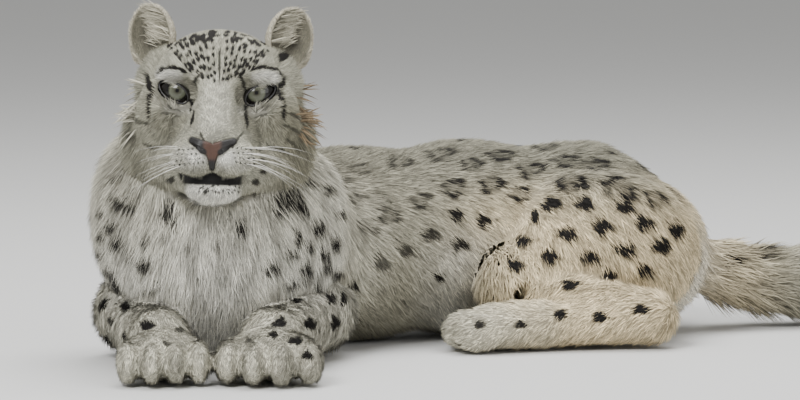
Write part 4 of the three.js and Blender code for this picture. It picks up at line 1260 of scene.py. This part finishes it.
hide = Hide(skin)
middles = hide.middles
head_share, trunk_share, arm_share, hand_share, thigh_share, shank_share, foot_share, tail_share = (
    skin_weights[hide.corners].mean(1).T
)
middle_head = in_head(middles)
middle_sides = mirrored(middle_head)
eye_middle, eye_axes = eye_frame(1)
from_eye = (middle_sides - eye_middle) @ eye_axes
lids_bare = smooth(0.95, 1.1, np.hypot((from_eye[:, 0] - 1.6) / 20.5, (from_eye[:, 1] + 3.6) / 13.0))
face_bare = 1 - bare_face(middle_sides)
above_floor = smooth(4, 9, middles[:, 2])
face = head_share * lids_bare * face_bare * smooth(60, 20, middle_head[:, 1])
ruff = head_share * smooth(46, 62, middle_sides[:, 0]) * smooth(24, 0, middle_head[:, 2])
near_side = smooth(0.25, -0.25, hide.facing[:, 1])
in_front = smooth(190, 120, middles[:, 1]) * smooth(220, 150, middles[:, 0])
front_of_trunk, rest_of_trunk = trunk_share * in_front, trunk_share * (1 - in_front)
hind = thigh_share + shank_share + foot_share
throat = front_of_trunk * smooth(120, 150, middles[:, 2])
throat += 0.6 * head_share * smooth(-84, -100, middle_head[:, 2])
chest = front_of_trunk * smooth(150, 120, middles[:, 2]) * above_floor
forelegs = (arm_share + hand_share) * above_floor * (1 + hand_share)
far_side = (rest_of_trunk + hind) * (1 - near_side) * above_floor
for name, share, count, wide, lift, longer in (
    ("brow", face * smooth(-6, 6, middle_head[:, 2]), 40000, 0.55, 0.3, 1.2),
    ("cheeks", face * smooth(6, -6, middle_head[:, 2]), 44000, 0.55, 0.3, 1.2),
    ("crown", head_share * smooth(30, 60, middle_head[:, 1]) * (1 - ruff), 14000, 0.85, 0.36, 1.0),
    ("ruff", ruff * smooth(-12, 8, middle_head[:, 1]), 22000, 0.8, 0.44, 1.1),
    ("throat", throat, 40000, 0.85, 0.36, 1.0),
    ("chest", chest, 30000, 0.95, 0.36, 1.0),
    ("forelegs", forelegs, 36000, 0.75, 0.28, 1.1),
    ("flank", rest_of_trunk * near_side * above_floor, 42000, 1.0, 0.27, 0.8),
    ("haunch", hind * near_side * above_floor, 36000, 0.95, 0.27, 0.85),
    ("far_side", far_side, 31000, 1.3, 0.28, 0.85),
    ("tail", tail_share * above_floor, 20000, 1.1, 0.4, 1.0),
):
    tufts("coat_" + name, hide, share, count, wide, lift, longer)


# Tips of the ruff: long hairs that stand out behind the cheeks in loose groups, pale on the animal's right
# and tan on its left, where the darker tan is painted shade on the side away from the key lamp. They are
# rooted in the skin in one place on each side.
def out_of_ruff(P, N, w):
    H = in_head(P)
    out = np.stack((np.sign(H[:, 0]), 0.5 + 0 * H[:, 0], 0.4 * np.sin(H[:, 2] / 5) - 0.25), 1) @ head_turn.T
    return unit(out - 0.6 * N * (out * N).sum(1)[:, None])


def tip_colour(P, w, shade):
    pale = np.repeat(level(214, 209, 190)[None], len(P), 0)
    # Pale on the animal's right, darker tan on its left: painted shade on the side away from the key lamp.
    return mixed(pale, level(140, 122, 96), smooth(-20, 20, P[:, 0])) * shade[:, None]


def tip_length(P, w):
    return np.full(len(P), 24.0)


at_tips = np.exp(-(((middle_head[:, 1] - 42) / 18) ** 2) - ((middle_head[:, 2] + 18) / 17) ** 2)
tips = head_share * smooth(62, 84, middle_sides[:, 0]) * at_tips
tufts("ruff_tips", hide, tips, 190, 0.9, 0.42, 1.15, 3, 0.35, out_of_ruff, tip_length, tip_colour)


# Ears: short round cups, thinly furred inside over dark skin, with painted shade deep in the cup, a pale
# rim, long hairs from the inner edge, and a black patch at the base. Each has its own skin, drawn over its
# solid and painted a little darker than its fur, with painted shade between the tufts.
ear_outside, ear_seat = (24.5, 15.5, 36), (70.0, 50.0, 56.0)
tipped_back, leaned_out, turned_out = math.radians(-8), math.radians(13), math.radians(16)


def ear_frame(sign):
    turn = about_z(sign * turned_out) @ about_y(sign * leaned_out) @ about_x(tipped_back)
    return np.array(ear_seat) * (sign, 1, 1), turn


def in_ear(P):
    """Places in the frame of the ear on their side, with x growing away from the middle of the head."""
    H = in_head(P)
    local = np.empty_like(H)
    for sign in (1, -1):
        seat, turn = ear_frame(sign)
        here = H[:, 0] * sign >= 0
        local[here] = (H[here] - seat) @ turn * (sign, 1, 1)
    return local


def from_ear(P, local):
    """Directions in the frame of the ear on their side, turned as the animal stands."""
    out = np.empty_like(local)
    for sign in (1, -1):
        _, turn = ear_frame(sign)
        here = in_head(P)[:, 0] * sign >= 0
        out[here] = (local[here] * (sign, 1, 1)) @ turn.T @ head_turn.T
    return out


def cup_field(E):
    return egg(E, (0, -11, 2), (21, 18.5, 31.5))


def ear_field(P):
    E = in_ear(P)
    return np.maximum(scoop(2.5, egg(E, (0, 1, -1), ear_outside), cup_field(E)), -5 - head_field(P))


def black_at_base(E):
    return smooth(11, 7, np.hypot(E[:, 0] + 3, (E[:, 2] + 18) * 1.1))


def ear_colour(P, w, shade=1.0):
    E = in_ear(P)
    inside = smooth(4, -2, cup_field(E))
    colour = np.repeat(level(132, 130, 116)[None], len(P), 0)
    colour = mixed(colour, level(60, 58, 50), smooth(4, 14, E[:, 1]) * smooth(18, -6, E[:, 2]))
    across, _, up = ear_outside
    rim = smooth(0.8, 0.95, np.linalg.norm(E[:, [0, 2]] / (across, up), axis=1)) * smooth(8, 0, E[:, 1])
    colour = mixed(colour, level(100, 96, 82), inside)
    # The middle of the cup is painted near black: painted shade deep in the hollow, over the dark skin.
    cup_shade = smooth(15, 3, np.hypot(E[:, 0] - 5, (E[:, 2] - 2) / 1.5))
    colour = mixed(colour, level(42, 39, 33), 0.85 * inside * cup_shade)
    colour = mixed(colour, level(178, 171, 152), 0.8 * rim)
    colour = mixed(colour, black, black_at_base(E) * smooth(8, 2, E[:, 1]))
    return shaded(colour * (0.88 + 0.24 * mottle(P, 9))[:, None], shade)


def strand_colour(P, w, shade):
    pale = np.repeat(level(184, 179, 160)[None], len(P), 0)
    return mixed(pale, black, 0.85 * black_at_base(in_ear(P))) * shade[:, None]


def strand_length(P, w):
    return np.full(len(P), 16.0)


def strand_lie(P, N, w):
    E = in_ear(P)
    return unit(from_ear(P, np.stack((0.75 - E[:, 0] / 40, -0.45 + 0 * E[:, 0], 0.85 - E[:, 2] / 60), 1)))


def ear_lie(P, N, w):
    E = in_ear(P)
    out = from_ear(P, np.stack((E[:, 0] / 24, 0.2 + 0 * E[:, 0], 1 + E[:, 2] / 60), 1))
    return unit(out - N * (out * N).sum(1)[:, None])


def ear_fur_length(P, w):
    return 4.5 + 3.5 * smooth(0, -24, in_ear(P)[:, 2])


for side in ("left", "right"):
    ear_mesh = cover("ear_skin_" + side, ["ear_" + side], 1.7, ear_field, even_depth)
    smoothed(ear_mesh)
    ear = piece("ear_skin_" + side, ear_mesh, "ear_" + side)
    # The ear's skin is painted a little darker than its fur: painted shade between the tufts.
    keep_colours(ear_mesh, ear_colour(taken_up(coordinates(ear_mesh)), None, 0.85))
    ear_mesh.materials.append(undercoat_in_shade)
    laid_flat(ear)
    ear_hide = Hide(ear)
    at = in_ear(ear_hide.middles)
    out_of_head = smooth(0, 3, head_field(ear_hide.middles))
    inner_edge = smooth(2, -10, at[:, 0]) * smooth(2, -3, cup_field(at))
    tufts(
        "ear_fur_" + side, ear_hide, out_of_head, 9500, 0.5, 0.26, 1.0,
        1, 0.3, ear_lie, ear_fur_length, ear_colour,
    )
    tufts(
        "ear_strands_" + side, ear_hide, out_of_head * inner_edge, 520, 0.4, 0.2, 1.0,
        2, 0.38, strand_lie, strand_length, strand_colour,
    )

# Whiskers: long white bristles in four rows on each pad, stiff at the root and drooping to a fine
# tip. They grow from the same places as the dots, and are thin three-sided rods closed at both ends.
whisker_girth, whisker_steps = 0.3, 8
whiskers = bmesh.new()
for side in (-1, 1):
    for line in range(whisker_lines):
        for n in range(2, 6):
            seen = seen_at(*whisker_root(side, line, n))
            if seen is None:
                continue
            at = in_head(seen[0][None])[0]
            long = draw.uniform(28, 76)
            aim = np.array([side, 0.16 + 0.12 * n, 0.12 - 0.13 * line + draw.uniform(-0.14, 0.14)])
            aim /= np.linalg.norm(aim)
            rings = []
            for t in np.linspace(0, 1, whisker_steps):
                middle = at + aim * long * t + np.array([0, 0.1, -0.24]) * long * t * t
                girth = whisker_girth * (1 - 0.9 * t)
                ring = []
                for k in range(3):
                    turn = 2 * math.pi * k / 3
                    edge = middle + girth * np.array([0, math.cos(turn), math.sin(turn)])
                    ring.append(whiskers.verts.new(set_down(head_at + head_turn @ edge)))
                rings.append(ring)
            for inner, outer in zip(rings, rings[1:]):
                for k in range(3):
                    whiskers.faces.new((inner[k - 1], inner[k], outer[k], outer[k - 1]))
            whiskers.faces.new(rings[-1])
            whiskers.faces.new(rings[0][::-1])
bmesh.ops.recalc_face_normals(whiskers, faces=whiskers.faces)
mesh = bpy.data.meshes.new("whiskers")
whiskers.to_mesh(mesh)
whiskers.free()
smoothed(mesh)
bristle, tree, shader = finish_of("bristle", tuple(level(236, 234, 226)), 0.35)
place = tree.nodes.new("ShaderNodeTexCoord")
along = wired(tree, "ShaderNodeTexNoise", Vector=place.outputs["Object"], Scale=180.0)
shine = wired(tree, "ShaderNodeMapRange", Value=along.outputs["Fac"], To_Min=0.25, To_Max=0.5)
tree.links.new(shine.outputs["Result"], shader.inputs["Roughness"])
mesh.materials.append(bristle)
piece("whiskers", mesh)

# Last of the skin: with the coat and the whiskers rooted in it, it gives up a few triangles where it
# is flattest, so that it stays under two hundred thousand.
thinned = skin.modifiers.new("thinned", "DECIMATE")
thinned.ratio = 0.94

# Camera, floor and light: the photograph's view, a plain pale floor, and soft daylight from a large
# lamp at the front left, with two weaker ones and an even sky that open up the shadows.
camera = bpy.data.objects.new("camera", bpy.data.cameras.new("camera"))
camera.data.lens = lens
camera.data.sensor_width = sensor
camera.data.clip_end = 60
camera.location = camera_at
camera.rotation_mode = "QUATERNION"
camera.rotation_quaternion = Vector(ahead).to_track_quat("-Z", "Y")
bpy.context.scene.collection.objects.link(camera)
bpy.context.scene.camera = camera

floor_mesh = bpy.data.meshes.new("floor")
ground = bmesh.new()
bmesh.ops.create_grid(ground, x_segments=2, y_segments=2, size=14)
ground.to_mesh(floor_mesh)
ground.free()
floor = bpy.data.objects.new("floor", floor_mesh)
bpy.context.scene.collection.objects.link(floor)
floor_mesh.materials.append(finish_of("floor", (0.62, 0.62, 0.61), 0.9)[0])

chest_height = Vector((0, 0, 0.15))
for name, at, size, power in (
    ("key", (-1.6, -2.8, 2.8), 1.6, 175),
    ("fill", (2.6, -2.8, 1.6), 2.6, 50),
    ("top", (0.2, 0.4, 3.0), 2.4, 115),
):
    lamp = bpy.data.objects.new(name, bpy.data.lights.new(name, "AREA"))
    lamp.data.size = size
    lamp.data.energy = power
    lamp.location = at
    lamp.rotation_mode = "QUATERNION"
    lamp.rotation_quaternion = (chest_height - Vector(at)).to_track_quat("-Z", "Y")
    bpy.context.scene.collection.objects.link(lamp)
world = bpy.data.worlds.new("soft light")
world.use_nodes = True
sky = world.node_tree.nodes["Background"]
sky.inputs["Color"].default_value = (0.87, 0.87, 0.86, 1)
sky.inputs["Strength"].default_value = 0.6
bpy.context.scene.world = world
